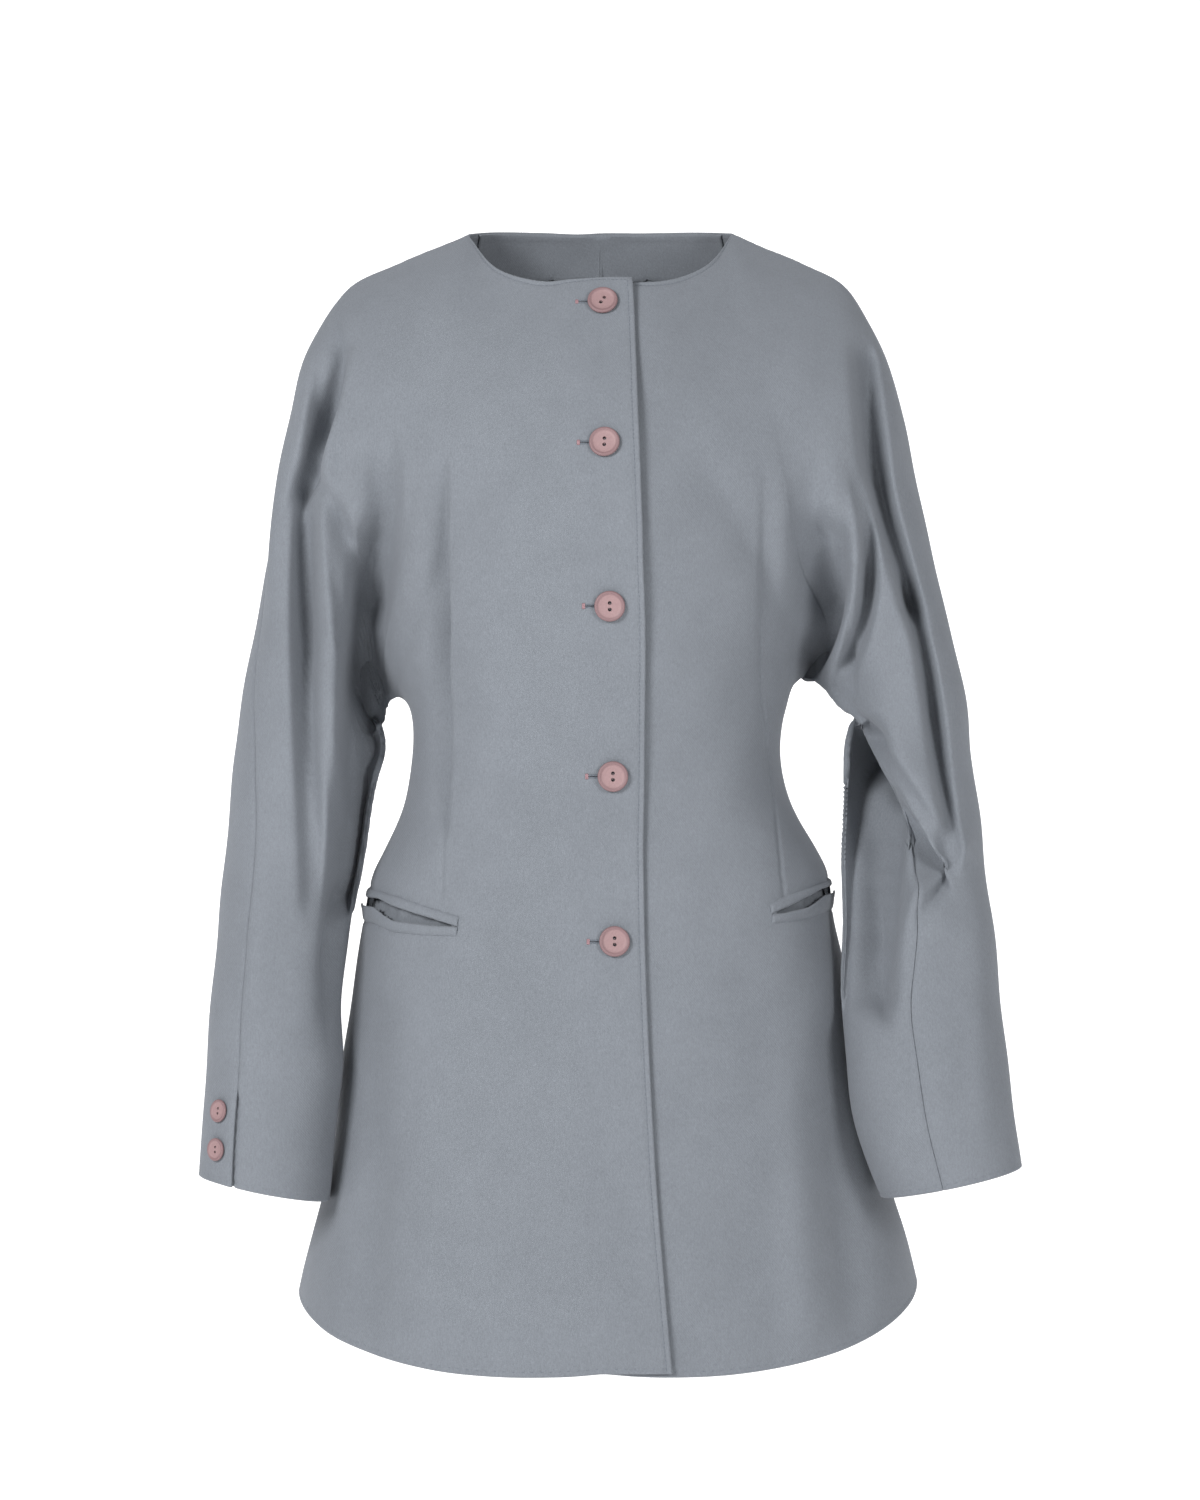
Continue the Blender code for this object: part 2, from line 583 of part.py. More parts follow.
def build_pocket(side_name, skin, rows):
    """Two welts on the front, the facing behind the mouth, and the cutter of the mouth."""
    pocket = table(POCKET_COLUMNS, rows)
    shares = np.linspace(pocket["share"][0], pocket["share"][-1], POCKET_STEPS)
    level = {name: np.interp(shares, pocket["share"], pocket[name]) for name in POCKET_COLUMNS[1:]}
    lay = np.full(POCKET_STEPS, LAY_GAP)
    upper = [level["upper_top"], (level["upper_top"] + level["upper_low"]) / 2, level["upper_low"]]
    lower = [level["lower_low"], (level["lower_top"] + level["lower_low"]) / 2, level["lower_top"]]
    upper_outs = [lay, lay, lay + level["stand"] * UPPER_STAND]
    lower_outs = [lay, lay + level["stand"] * LOWER_MIDDLE_STAND, lay + level["stand"]]
    for name, heights, outs in (("upper", upper, upper_outs), ("lower", lower, lower_outs)):
        under = laid_band(skin, shares, heights, outs)
        over = laid_band(skin, shares, heights, [out + WELT for out in outs])
        piece = closed_sheet(f"{side_name}_pocket_{name}_welt", over, under)
        finish(piece, WOOL, WOOL_ROUGHNESS)
    inside = np.linspace(shares[0] + FACING_ENDS[0], shares[-1] + FACING_ENDS[1], POCKET_STEPS)
    high = np.interp(inside, shares, level["upper_low"]) + FACING_SPARE
    low = np.interp(inside, shares, level["lower_top"]) - FACING_SPARE
    edge = np.full(POCKET_STEPS, -CLOTH - INSIDE_GAP)
    heights = [high, (high + low) / 2, low]
    outs = [edge, edge - FACING_DROP, edge]
    near = laid_band(skin, inside, heights, outs)
    far = laid_band(skin, inside, heights, [out - FACING for out in outs])
    finish(closed_sheet(f"{side_name}_pocket_facing", near, far), WOOL, WOOL_ROUGHNESS)
    mouth = [level["upper_low"] + MOUTH_SPARE, level["lower_top"] - MOUTH_SPARE]
    mouth_shares = np.linspace(shares[0] + MOUTH_ENDS[0], shares[-1] + MOUTH_ENDS[1], POCKET_STEPS)
    mouth = [np.interp(mouth_shares, shares, line) for line in mouth]
    out_there = np.full(POCKET_STEPS, CLOTH)
    in_there = np.full(POCKET_STEPS, -MOUTH_DEPTH)
    cutter = closed_sheet(
        f"{side_name}_pocket_cutter",
        laid_band(skin, mouth_shares, mouth, [out_there, out_there]),
        laid_band(skin, mouth_shares, mouth, [in_there, in_there]),
    )
    hide_cutter(cutter)
    return cutter


def hide_cutter(cutter):
    cutter.hide_render = True
    cutter.display_type = "WIRE"


def cut(piece, cutter):
    modifier = piece.modifiers.new("cut", "BOOLEAN")
    modifier.operation = "DIFFERENCE"
    modifier.solver = "EXACT"
    modifier.object = cutter


def build_neck_facing(panels, skins):
    """The band inside the back neck: from its edge down the backs, laid inside them."""
    edge = []
    for name, order in (("right_back", -1), ("left_back", 1)):
        grid, marks, _ = panels[name]
        rows = np.flatnonzero((marks >= CENTRE_BACK_ROW) & (marks < FACING_END_ROW))[::order]
        edge += [(name, grid[row, -1]) for row in rows[(order + 1) // 2 :]]
    near, far = [], []
    for name, start in edge:
        skin = skins[name]
        place, gone = start, 0
        near_line, far_line = [], []
        for depth in FACING_DEPTHS:
            _, normal = snapped(skin, *skin["tree"].find_nearest(Vector(place))[::2], 0)
            down = unit(np.array((0, 0, -1)) + normal[2] * normal)
            found, _, index, _ = skin["tree"].find_nearest(Vector(place + (depth - gone) * down))
            place, normal = snapped(skin, found, index, 0)
            gone = depth
            near_line.append(place - (CLOTH + INSIDE_GAP) * normal)
            far_line.append(place - (CLOTH + INSIDE_GAP + FACING) * normal)
        near.append(near_line)
        far.append(far_line)
    piece = closed_sheet("back_neck_facing", np.array(near), np.array(far))
    finish(piece, WOOL, WOOL_ROUGHNESS)


def build_underlap(side_name, panel):
    """The strip under the vent's edge at the cuff."""
    grid, marks, normals = panel
    part = np.s_[np.flatnonzero(marks >= VENT_TOP_ROW), -UNDERLAP_COLUMNS:]
    near = grid[part] - (CLOTH + INSIDE_GAP) * normals[part]
    piece = closed_sheet(f"{side_name}_cuff_underlap", near, near - FACING * normals[part])
    finish(piece, WOOL, WOOL_ROUGHNESS)


def build_button(name, centre, normal, radius, high, sides, tilt):
    """A dished disc with two sewing holes, its face along the normal."""
    normal = Vector(normal)
    across = Vector((0, 0, 1)).cross(normal).normalized()
    up = normal.cross(across)
    across, up = (
        across * math.cos(tilt) + up * math.sin(tilt),
        up * math.cos(tilt) - across * math.sin(tilt),
    )
    centre = Vector(centre)

    def place(x, y, h):
        return np.array(centre + across * x + up * y + normal * h)

    angles = np.linspace(0, 2 * math.pi, sides, endpoint=False)
    rings = [
        [place(r * radius * math.cos(a), r * radius * math.sin(a), h * high) for a in angles]
        for r, h in BUTTON_PROFILE
    ]
    points = np.array([p for ring in rings for p in ring] + [place(0, 0, 0), place(0, 0, BUTTON_DISH * high)])
    faces = []
    last = len(rings) - 1
    for k in range(sides):
        n = (k + 1) % sides
        for ring in range(last):
            low, high_ring = ring * sides, (ring + 1) * sides
            faces += [(low + k, low + n, high_ring + n), (low + k, high_ring + n, high_ring + k)]
        faces += [(last * sides + k, last * sides + n, len(points) - 1), (n, k, len(points) - 2)]
    piece = add_object(name, points, np.array(faces))
    finish(piece, BUTTON, BUTTON_ROUGHNESS)
    bores = []
    spokes = np.linspace(0, 2 * math.pi, HOLE_SIDES, endpoint=False)
    for way in (-1, 1):
        middle = way * HOLE_APART * radius / 2
        for h in (-1, high + 1):
            bores += [
                place(HOLE_RADIUS * radius * math.cos(a), middle + HOLE_RADIUS * radius * math.sin(a), h)
                for a in spokes
            ]
    bore_faces = []
    for low in (0, 2 * HOLE_SIDES):
        top = low + HOLE_SIDES
        for k in range(HOLE_SIDES):
            n = (k + 1) % HOLE_SIDES
            bore_faces += [(low + k, low + n, top + n), (low + k, top + n, top + k)]
        for k in range(1, HOLE_SIDES - 1):
            bore_faces += [(low, low + k + 1, low + k), (top, top + k, top + k + 1)]
    cutter = add_object(name + "_holes", np.array(bores), np.array(bore_faces))
    hide_cutter(cutter)
    cut(piece, cutter)


def main():
    for old in list(bpy.data.objects):
        bpy.data.objects.remove(old, do_unlink=True)
    panels = build_panels()
    skins = {}
    pieces = {}
    for name, (grid, marks, normals) in panels.items():
        outer = drawn_in(grid)
        skins[name] = skin_of(outer, marks, normals)
        pieces[name] = closed_sheet(name, outer, outer - CLOTH * normals)
        finish(pieces[name], WOOL, WOOL_ROUGHNESS)
    for side_name, rows in (("right", RIGHT_POCKET), ("left", LEFT_POCKET)):
        front = side_name + "_front"
        cut(pieces[front], build_pocket(side_name, skins[front], rows))
        build_underlap(side_name, panels[side_name + "_back"])
    build_neck_facing(panels, skins)
    for number, (x, z) in enumerate(zip(BUTTON_X, BUTTON_Z), 1):
        tilt = FIRST_BUTTON_TILT if number == 1 else 0
        centre, normal = seen_at(skins["right_front"], x, z, BUTTON_GAP)
        name = f"front_button_{number}"
        build_button(name, centre, normal, BUTTON_RADIUS, BUTTON_HIGH, FRONT_BUTTON_SIDES, tilt)
    for side_name in ("right", "left"):
        for number, row in enumerate(CUFF_BUTTON_ROWS, 1):
            centre, normal = at_row(skins[side_name + "_back"], row, CUFF_BUTTON_SHARE, BUTTON_GAP)
            name = f"{side_name}_cuff_button_{number}"
            build_button(name, centre, normal, CUFF_BUTTON_RADIUS, CUFF_BUTTON_HIGH, CUFF_BUTTON_SIDES, 0)


main()
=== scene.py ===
"""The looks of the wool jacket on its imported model: cloth with folds, sewing, buttons, light and camera."""

import math
from collections import namedtuple
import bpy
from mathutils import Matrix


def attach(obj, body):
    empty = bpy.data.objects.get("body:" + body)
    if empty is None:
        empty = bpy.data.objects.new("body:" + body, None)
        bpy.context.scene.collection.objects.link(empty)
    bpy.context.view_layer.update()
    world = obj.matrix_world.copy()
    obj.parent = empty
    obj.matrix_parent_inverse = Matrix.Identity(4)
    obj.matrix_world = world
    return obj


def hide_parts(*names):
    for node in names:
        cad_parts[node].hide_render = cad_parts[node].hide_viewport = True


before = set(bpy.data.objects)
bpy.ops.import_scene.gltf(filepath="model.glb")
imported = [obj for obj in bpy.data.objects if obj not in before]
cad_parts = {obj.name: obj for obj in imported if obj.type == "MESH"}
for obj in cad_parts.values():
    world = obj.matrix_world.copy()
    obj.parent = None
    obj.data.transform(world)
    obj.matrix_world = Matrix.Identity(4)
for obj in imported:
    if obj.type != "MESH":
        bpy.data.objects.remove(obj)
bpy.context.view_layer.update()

from types import SimpleNamespace

import bpy
import numpy as np
from mathutils import Vector
from mathutils.bvhtree import BVHTree


def table(columns, text):
    """The rows of a table of numbers, with its columns by name."""
    row = namedtuple("Row", columns)
    return [row(*map(float, line.split())) for line in text.strip().splitlines()]


# Sizes of the cloth are in millimetres. In the tables of one side x runs outward from the centre line.
MM = 0.001
CLOTH = 2.0
SEAM_HALF = 0.15
SECTION_FULL = 0.62
CENTRE_BEND = 0.0017
EDGE_POINTS = 12
SIDE_PULL = 2
HEM_DROOP = 0.45
HEM_SAG = -14
CORNER_ROWS = (14, 17)
NECK_POINT_ROW = 17
CENTRE_BACK_ROW = 14
HIGHEST_LAP_ROW = 16.5
VENT_TOP_ROW = 29.5

# Where one front laps over the other: how far each moves out, the x where that starts and where it is full.
LAPS = {"right": (3.6, -44, -18), "left": (-2, 24, 6)}

# How finely the cloth is drawn: points along a section, columns on each side of the dart, and the rows that
# each section has.
RUNG_POINTS = 400
BASE_COLUMNS = 260
INNER_COLUMNS = 44
OUTER_COLUMNS = 76
DART_SHARE = 0.46
EDGE_CROWD = 0.6
BODY_ROWS = (16, 12, 14, 13, 24, 18, 8, 8, 8, 9, 12)
YOKE_ROWS = (13, 18, 20, 12, 8, 10, 10, 9, 10, 9, 12, 22)
SLEEVE_ROWS = (10, 10, 10, 11, 11, 11, 11, 13)
EDGE_PACK = 1.5
LEAST_SPAN = 0.01
CORNER_POWER = 8
PAST_LAST = 1.001
BODY_TOP_ROW = 12

# How the chest is evened out along its columns: sections from and to, shares kept at its edges, how often.
EVEN_FROM = 10.5
EVEN_TO = 16.5
EVEN_INNER = 0.12
EVEN_OUTER = 0.1
EVEN_PASSES = 160

# Body sections from the hem up to under the arm: the middle of both faces, then each side's seam and edge.
BODY_MIDDLE = table("edge_z front_y back_y back_z", """
-797 -150 150 -800
-735 -146 146 -735
-680 -139 139 -680
-612 -129 129 -612
-554 -121 120 -554
-498 -115 111 -498
-458 -111 104 -458
-436 -109 98 -436
-405 -107 90 -405
-372 -107 86 -372
-335 -114 90 -335
""")
RIGHT_BODY = table("side_x side_y side_z edge_x", """
217 14 -757 -49
207 14 -718 -43.5
194 14 -665 -39
186.5 14 -600 -35
179.5 13 -549 -32.4
171 12 -495 -30.5
163.5 11 -460 -29.8
155.5 10 -442 -29.6
140.6 9 -405 -30.2
134.3 8 -373 -30.6
134.3 8 -352 -30.8
""")
LEFT_BODY = table("side_x side_y side_z edge_x", """
229 24 -751 -12
219 25 -715 -12
206 26 -665 -12
192 24 -600 -12
181.5 20 -549 -12
170.5 14 -495 -12
164.3 12 -460 -12
155 11 -440 -12
137.2 9 -405 -12
130.2 8 -373 -12
130.6 8 -351 -12
""")

# Points of the side seam over the arch under the arm, one for each yoke section.
RIGHT_ARCH = table("x y z", """
137 8 -339
140 8 -334.5
143 8 -332.3
145.5 8 -331.8
147.5 8 -332
149.5 8 -332.8
151.3 8 -334.2
153 7 -336.5
154.5 6 -339.5
155.7 5 -343
156.8 5 -347.5
158 5 -353
""")
LEFT_ARCH = table("x y z", """
133.5 8 -338
137 8 -326
141 7 -319.7
145 6 -318.2
149 4 -318.6
153 2 -320.2
157 0 -323.4
161 -3 -327
165 -6 -333
169.5 -10 -339
174.5 -16 -343.5
180.5 -24 -347.5
""")

# Yoke sections fan out from the arch: the outer end, then the pull of the curve at the arch and at that end.
PULL_COLUMNS = "near_x near_y near_z far_x far_y far_z"
YOKE_COLUMNS = "x y z " + PULL_COLUMNS
RIGHT_FRONT_YOKE = table(YOKE_COLUMNS, """
-30.9 -126 -285 3 -82 4 80 0 -2
-29.5 -132 -230 4 -88 12 85 -2 -14
-26.5 -117 -140 4 -98 30 84 -18 -42
-22.4 -66 -38 3 -118 50 54 -71 -102
38 -58 -38.5 2 -120 63 34 -71 -92
72 -36 -27 2 -124 72 20 -76 -92
96 8 3 3 -128 82 8 -104 -66
144 12 -16 4 -122 86 5 -98 -55
180 12 -34 5 -111 85 10 -86 -47
208 4 -76 6 -95 75 18 -73 -30
219 -4 -122 6 -82 55 22 -62 -30
229.7 -17 -190 4 -78 40 26 -50 -34
""")
LEFT_FRONT_YOKE = table(YOKE_COLUMNS, """
-12 -126 -285 3 -82 4 70 0 -2
-12 -132 -230 4 -88 12 77 -2 -14
-12 -117 -140 4 -98 30 80 -18 -42
-12 -66 -39 3 -117 50 54 -70 -102
42 -58 -38 2 -119 63 34 -71 -92
75 -36 -25 2 -124 72 20 -76 -92
96 8 3 3 -128 82 8 -104 -66
144 12 -16 4 -122 86 5 -98 -55
178 14 -36 5 -112 85 12 -88 -47
202 22 -76 6 -96 75 20 -86 -30
213 30 -117 6 -85 60 24 -87 -26
228 40 -190 4 -74 50 24 -96 -20
""")
BACK_YOKE = table(YOKE_COLUMNS, """
0 101 -285 3 70 4 70 4 -4
0 110 -230 4 78 12 74 5 -20
0 116 -140 4 90 28 74 14 -44
0 66 10 2 110 58 56 54 -66
48 62 10 2 115 64 34 50 -68
78 44 8 2 120 73 20 58 -65
""")
BACK_PULLS = table(PULL_COLUMNS, """
2 125 80 8 102 -57
3 114 84 6 90 -49
4 106 82 8 83 -42
6 92 72 12 78 -34
6 84 58 14 76 -26
4 78 44 16 74 -22
""")

# Sleeve sections down to the cuff: inner and outer side, middle and half depth, and the turn of the seams.
SLEEVE_COLUMNS = "in_x in_z out_x out_z mid_y half_y turn"
RIGHT_SLEEVE = table(SLEEVE_COLUMNS, """
156 -366 255 -318 -6 62 36
161 -392 261 -368 -10 60 47
167 -425 265.5 -416 -14 57 57
174.7 -470 271 -468 -20 54 63
179.5 -505 273.5 -507 -27 51 63
184 -549 276.5 -549 -34 48 62
182.8 -590 279.5 -588 -40 47 63
186.5 -630 282 -625 -44 46 64
192 -688 284.5 -670 -47 45 64
""")
LEFT_SLEEVE = table(SLEEVE_COLUMNS, """
176.6 -366 262.5 -335 -12 58 -46
176.2 -390 266.5 -372 -16 57 -64
175.2 -422 271 -413 -22 56 -80
173.6 -457 275 -452 -28 55 -88
172.4 -495 279 -492 -40 54 -86
171.5 -549 283.5 -549 -52 51 -79
174 -590 288 -588 -60 49 -80
180.5 -635 292.5 -628 -66 47 -81
198 -684 297.5 -662 -67 45 -79
""")

FOLD_STEPS = 49
FOLD_END = 14
FOLD_VIEW = 1.8
DEEP_VIEW = 8
SOFT_POWER = 2
DEEP_POWER = 3
LEAN_EDGE = 8
FOLD_ROW_FADE = 0.2
# A trough at least this deep goes straight in, as the cloth does where it is gathered under the arm.
DEEP_FOLD = 16
# Folds as soft ridges (height above 0) and troughs: a path of three points seen from the front, the widths on
# its two sides, the height, how far a deep trough runs sideways for each step in, the shares of the height
# that its ends keep, the way it looks (-1 front, 1 back), and its first and last section.
FOLD_COLUMNS = "x0 z0 x1 z1 x2 z2 minus plus height lean start end looks from_row to_row"
RIGHT_FOLDS = table(FOLD_COLUMNS, """
-199 -104 -202 -130 -207 -160 12 7 -17 0.2 0.3 0.4 -1 15 31
-188 -55 -188 -85 -190 -118 6 7 -7 0 0.2 0.6 -1 15 31
-183 -88 -197 -142 -210 -184 6 10 -22 0.25 0.3 0.6 -1 15 31
-208.5 -190 -208.5 -300 -202 -470 10 10 -24 0 0.6 0.3 -1 15 31
-191 -140 -193 -285 -183 -410 10 7 9 0 0.3 0.3 -1 15 31
-161 -225 -166 -310 -178 -472 21 17 -50 -0.12 0.3 0.5 -1 8 31
-143 -245 -153 -288 -142 -325 18 7 5 0 0.3 0.5 -1 8 24
-181 -480 -185 -515 -187 -565 13 13 -15.9 0 0.6 0.2 -1 23 31
-203 -175 -189 -200 -176 -236 9 9 -11 0 0.5 0.8 -1 12 31
-149 -158 -148 -205 -153 -262 9 20 -20 0 0.3 0.9 -1 8 25
-110 -180 -110 -290 -109 -410 4 14 -15.9 0 0.3 0.3 -1 3 20
-240 -130 -252 -220 -258 -330 16 12 3 0 0.3 0.3 -1 17 31
-232 -420 -240 -500 -246 -600 14 16 4 0 0.2 0.3 -1 23 31
-168 -520 -162 -650 -166 -800 22 20 -8 0 0.2 1 -1 0 8
-110 -560 -114 -680 -120 -818 30 28 4 0 0.1 1 -1 0 7
-206 -180 -214 -270 -213 -390 10 12 -13 0 0.3 0.3 1 17 31
-166 -220 -170 -300 -168 -380 16 16 -24 0 0.2 0.7 1 13 31
-190 -200 -196 -290 -192 -400 9 9 4 0 0.3 0.3 1 15 31
-262 -425 -238 -458 -205 -452 9 12 -6 0 0.5 0.3 1 23 31
-268 -505 -240 -520 -205 -500 10 10 -5 0 0.6 0.2 1 23 31
-135 -130 -150 -200 -150 -270 16 16 -7 0 0.2 0.4 1 11 20
-120 -520 -128 -660 -140 -820 26 22 -8 0 0.1 1 1 0 8
-55 -540 -60 -680 -66 -820 24 24 5 0 0.1 1 1 0 8
-95 -345 -60 -372 -20 -366 8 12 -2.5 0 0.3 0.3 1 5 12
""")
LEFT_FOLDS = table(FOLD_COLUMNS, """
204 -405 206 -450 208 -520 16 20 -12 0 0.5 0.3 -1 19 31
190 -95 199 -180 221 -262 8 13 -32 0 0.5 0.6 -1 15 31
222 -262 237 -345 245 -440 6 9 -24 0 0.6 0.5 -1 15 31
184 -190 191 -250 181 -300 6 7 -20 0 0.3 0.6 -1 12 31
178 -205 177.5 -255 168 -312 8 7 5 0 0.4 0.9 -1 13 31
192 -190 204 -240 219 -300 8 8 5 0 0.4 0.4 -1 17 31
163 -222 160 -270 148 -305 12 24 -36 0.3 0.4 1 -1 8 25
177 -280 178.5 -300 179 -318 4 5 -5 0 0.4 0.4 -1 13 25
188 -376 211 -409 234 -450 4 18 -28 0.5 0.9 0.7 -1 19 31
190 -346 221 -392 245 -436 18 5 7 0 0.6 1 -1 20 31
196 -378 206 -405 218 -440 7 7 4 0 0.4 0.5 -1 23 31
182 -366 187 -430 186 -540 21 18 -48 0.4 1 0.5 -1 19 31
240.6 -447.7 219.4 -477.4 202.5 -528 11 10 6 0 0.9 0.2 -1 23 31
240 -457 236 -467 230 -477 7 7 -6 0 0.6 0.6 -1 23 31
187.7 -536.6 193.3 -552.9 203.2 -565.6 7 7 -5 0 0.5 0.3 -1 23 31
182 -480 183 -505 186 -535 12 12 -8 0 0.4 0.3 -1 23 31
262 -470 264 -560 268 -640 14 14 3 0 0.3 0.3 -1 23 31
153 -158 152 -205 152 -262 12 22 -13 0 0.2 0.9 -1 8 25
116 -185 116 -245 115 -330 14 6 -3.5 0 0.3 0.3 -1 3 20
131 -560 136 -680 142 -800 22 18 5 0 0.2 1 -1 0 8
166 -540 172 -680 180 -780 20 20 -7 0 0.2 1 -1 0 8
206 -170 218 -270 222 -380 12 10 -13 0 0.3 0.3 1 17 31
166 -220 170 -290 172 -380 16 16 -22 0 0.2 0.6 1 13 31
190 -190 196 -280 198 -390 9 9 4 0 0.3 0.3 1 15 31
268 -420 240 -455 205 -448 12 9 -6 0 0.5 0.3 1 23 31
270 -500 244 -516 206 -498 10 10 -5 0 0.6 0.2 1 23 31
140 -140 150 -205 148 -275 16 16 -6 0 0.2 0.4 1 11 20
112 -520 122 -660 130 -820 22 26 -7.5 0 0.1 1 1 0 8
48 -540 54 -680 62 -820 24 24 5.5 0 0.1 1 1 0 8
92 -350 58 -376 18 -370 12 8 -2.5 0 0.3 0.3 1 5 12
""")

# The long darts from the bust to the pocket: depths below the shoulders and places across.
DART_DOWN = (180, 240, 283, 330, 365, 400, 450, 484)
RIGHT_DART_X = (110, 107, 105, 107, 108, 109, 110, 111.5)
LEFT_DART_X = (118, 118, 114.3, 115, 118.5, 123.5, 127, 131)
DART_LOW = -480
DART_HIGH = -195
DART_FADE = 90
DART_SINK = 1.0
DART_WIDE = 2.2
DART_FOOT = 12
DART_TOP_ROW = 13.5
DART_LOST_ROW = 18
DART_LEAST_SHARE = 0.15

# Shallow waves of the whole cloth: height, length across and down, and phase.
LOOSE_WAVES = (
    (0.45, 71, 190, 0.4),
    (0.35, -93, 130, 2.1),
    (0.25, 47, -97, 1.2),
    (0.3, 160, 83, 4.0),
)

# Seams, darts and stitching as furrows: how deep, how wide, and how they pucker.
SEAM_SINK = 0.9
SEAM_WIDE = 1.8
SEAM_EASE = 14
PUCKER = 0.22
PUCKER_LONG = 8.5
PUCKER_STRAY = 2
PUCKER_DRIFT = 31
EDGE_STITCH = 3.5
STITCH_WIDE = 1.1
STITCH_SINK = 0.45
HEM_STITCH = 3.0
HEM_SINK = 0.2
EDGE_ROUND = 0.8
VENT_OPEN = 1.6
VENT_SINK = 1.0
VENT_LIFT = 1.3
VENT_SINK_WIDE = 7
VENT_LIFT_WIDE = 9
VENT_FADE = 0.25

# The pocket mouths: share of the way from the side seam to the front edge, four heights down the two welts,
# and how far the lower welt stands off.
POCKET_COLUMNS = "share upper_top upper_low lower_top lower_low stand"
RIGHT_POCKET = table(POCKET_COLUMNS, """
0.03 -468 -473.5 -480 -492 3.2
0.1 -469 -474.8 -481.2 -492.7 3.2
0.2 -469.7 -474.6 -481.7 -493.1 2.6
0.3 -473.1 -480.2 -490.6 -498 0.8
0.4 -478.9 -485.6 -492.3 -499.5 0.2
0.51 -485.6 -492.5 -493.4 -499.6 0
""")
LEFT_POCKET = table(POCKET_COLUMNS, """
0.03 -461.5 -465.4 -470.5 -484 2.4
0.1 -462.5 -466.5 -472 -484.5 2.2
0.2 -464.3 -467.8 -473.2 -485.3 1.4
0.3 -467.9 -473.1 -480.9 -488.6 0.4
0.4 -472.9 -480.2 -484.2 -490.5 0
0.45 -477.7 -484 -485 -491 0
""")

# Pocket, facing and vent sizes.
MOUTH_SPARE = 1.0
MOUTH_END = 0.02
POCKET_SINK = 0.9
POCKET_TOP_ROW = 10
FURROW_OFF = 0.4
FURROW_WIDE = 1.3
FURROW_END = 0.012
FURROW_START = 0.03
FURROW_FADE = 0.02
UPPER_STAND = 0.25
WELT = 1.5
WELT_STEPS = 46
WELT_WAVE = 0.25
WELT_PACE = 61
WELT_TURN = 3
WELT_FREE = (0, 1, 0.6, 0.3)
# Down a welt: share of the way, rise off the cloth, and share of the thickness.
WELT_PROFILE = ((0, 0.1, 1), (0.12, 0.7, 1), (0.3, 1.2, 1), (0.55, 1.4, 1), (0.8, 1.4, 1), (0.95, 1.1, 0.8))
FACING_SPARE = 8
FACING_DROP = 2.4
FACING = 1.2
FACING_ROWS = 11
FACING_GAP = 1.3
FACING_ENDS = (0.004, 0.02)
# Ripples of the facing: height, pace across and turn down its rows.
FACING_WAVES = ((0.9, 95, 2.2), (0.5, 41, -3))
NECK_FACING = 42
NECK_FACING_COLUMNS = 14
NECK_FACING_SHORT = 0.3
NECK_GAP = 0.35
UNDERLAP_COLUMNS = 16
UNDERLAP_PAST = 6
UNDERLAP_EXTRA = 4
UNDERLAP_GAP = 0.9

# Front buttons down the lap, and the cuff buttons on the back's edge of each vent: places, radius and height.
BUTTON_X = (1.9, 3.2, 6.8, 9, 10)
BUTTON_Z = (-54.4, -156.4, -270, -387.8, -502.3)
FRONT_BUTTON = (10.7, 3.2)
CUFF_BUTTON = (8.1, 2.6)
CUFF_BUTTON_MARKS = (29.93, 30.52)
CUFF_BUTTON_SHARE = 0.905
FIRST_BUTTON_TILT = math.radians(-31)
BUTTON_GAP = 0.4
BUTTON_SIDES = 48
BORE_STEP = 3
SHARP_ANGLE = math.radians(50)
# Rings of a button, as shares of its radius and its height.
BUTTON_PROFILE = (
    (0.86, 0), (0.97, 0.22), (1, 0.5), (0.985, 0.78), (0.94, 0.95), (0.88, 1),
    (0.81, 0.95), (0.76, 0.82), (0.7, 0.73), (0.5, 0.7), (0.25, 0.7),
)
HOLE_RADIUS = 0.125
HOLE_APART = 0.42
# Where the painted shade on a button's rim starts and where it is full, as shares of its radius.
RIM_SHADE_FROM = 0.72
RIM_SHADE_FULL = 0.8
THREAD_SINK = 0.5
THREAD_PAST = 1.1
BUTTON_THREADS = (-0.22, 0.22)
BUTTON_THREAD_RADIUS = 0.24
VIEW_FROM = -1000
NORMAL_TAPS = ((5, 0), (-5, 0), (0, 5), (0, -5))

# Buttonholes and stitches.
SLIT_END = 17.0
SLIT_HIDDEN = 5
SLIT_RADIUS = 0.28
SLIT_ARCH = 0.2
HOLE_STITCHES = 26
HOLE_PITCH = 0.5
HOLE_STITCH_MIDDLE = 0.85
HOLE_STITCH_HALF = 0.5
HOLE_LIFT = 0.12
HOLE_THREAD_RADIUS = 0.3
BAR_THREADS = 5
BAR_HALF = 2.0
BAR_START = 0.3
BAR_PITCH = 0.42
BAR_LIFT = 0.2
BAR_RADIUS = 0.32
THREAD_SIDES = 5
THREAD_ARCH = 0.5
# Along a stitch: share of its length and of its radius.
THREAD_PROFILE = ((0, 0.45), (0.12, 0.85), (0.5, 1), (0.88, 0.85), (1, 0.45))
# Pitch and length of the stitches along the edges, and of those along the hem.
EDGE_DASH = (3.0, 2.1)
PRICK_DASH = (6.5, 1.6)
STITCH_OUT = 0.08
STITCH_RADIUS = 0.2

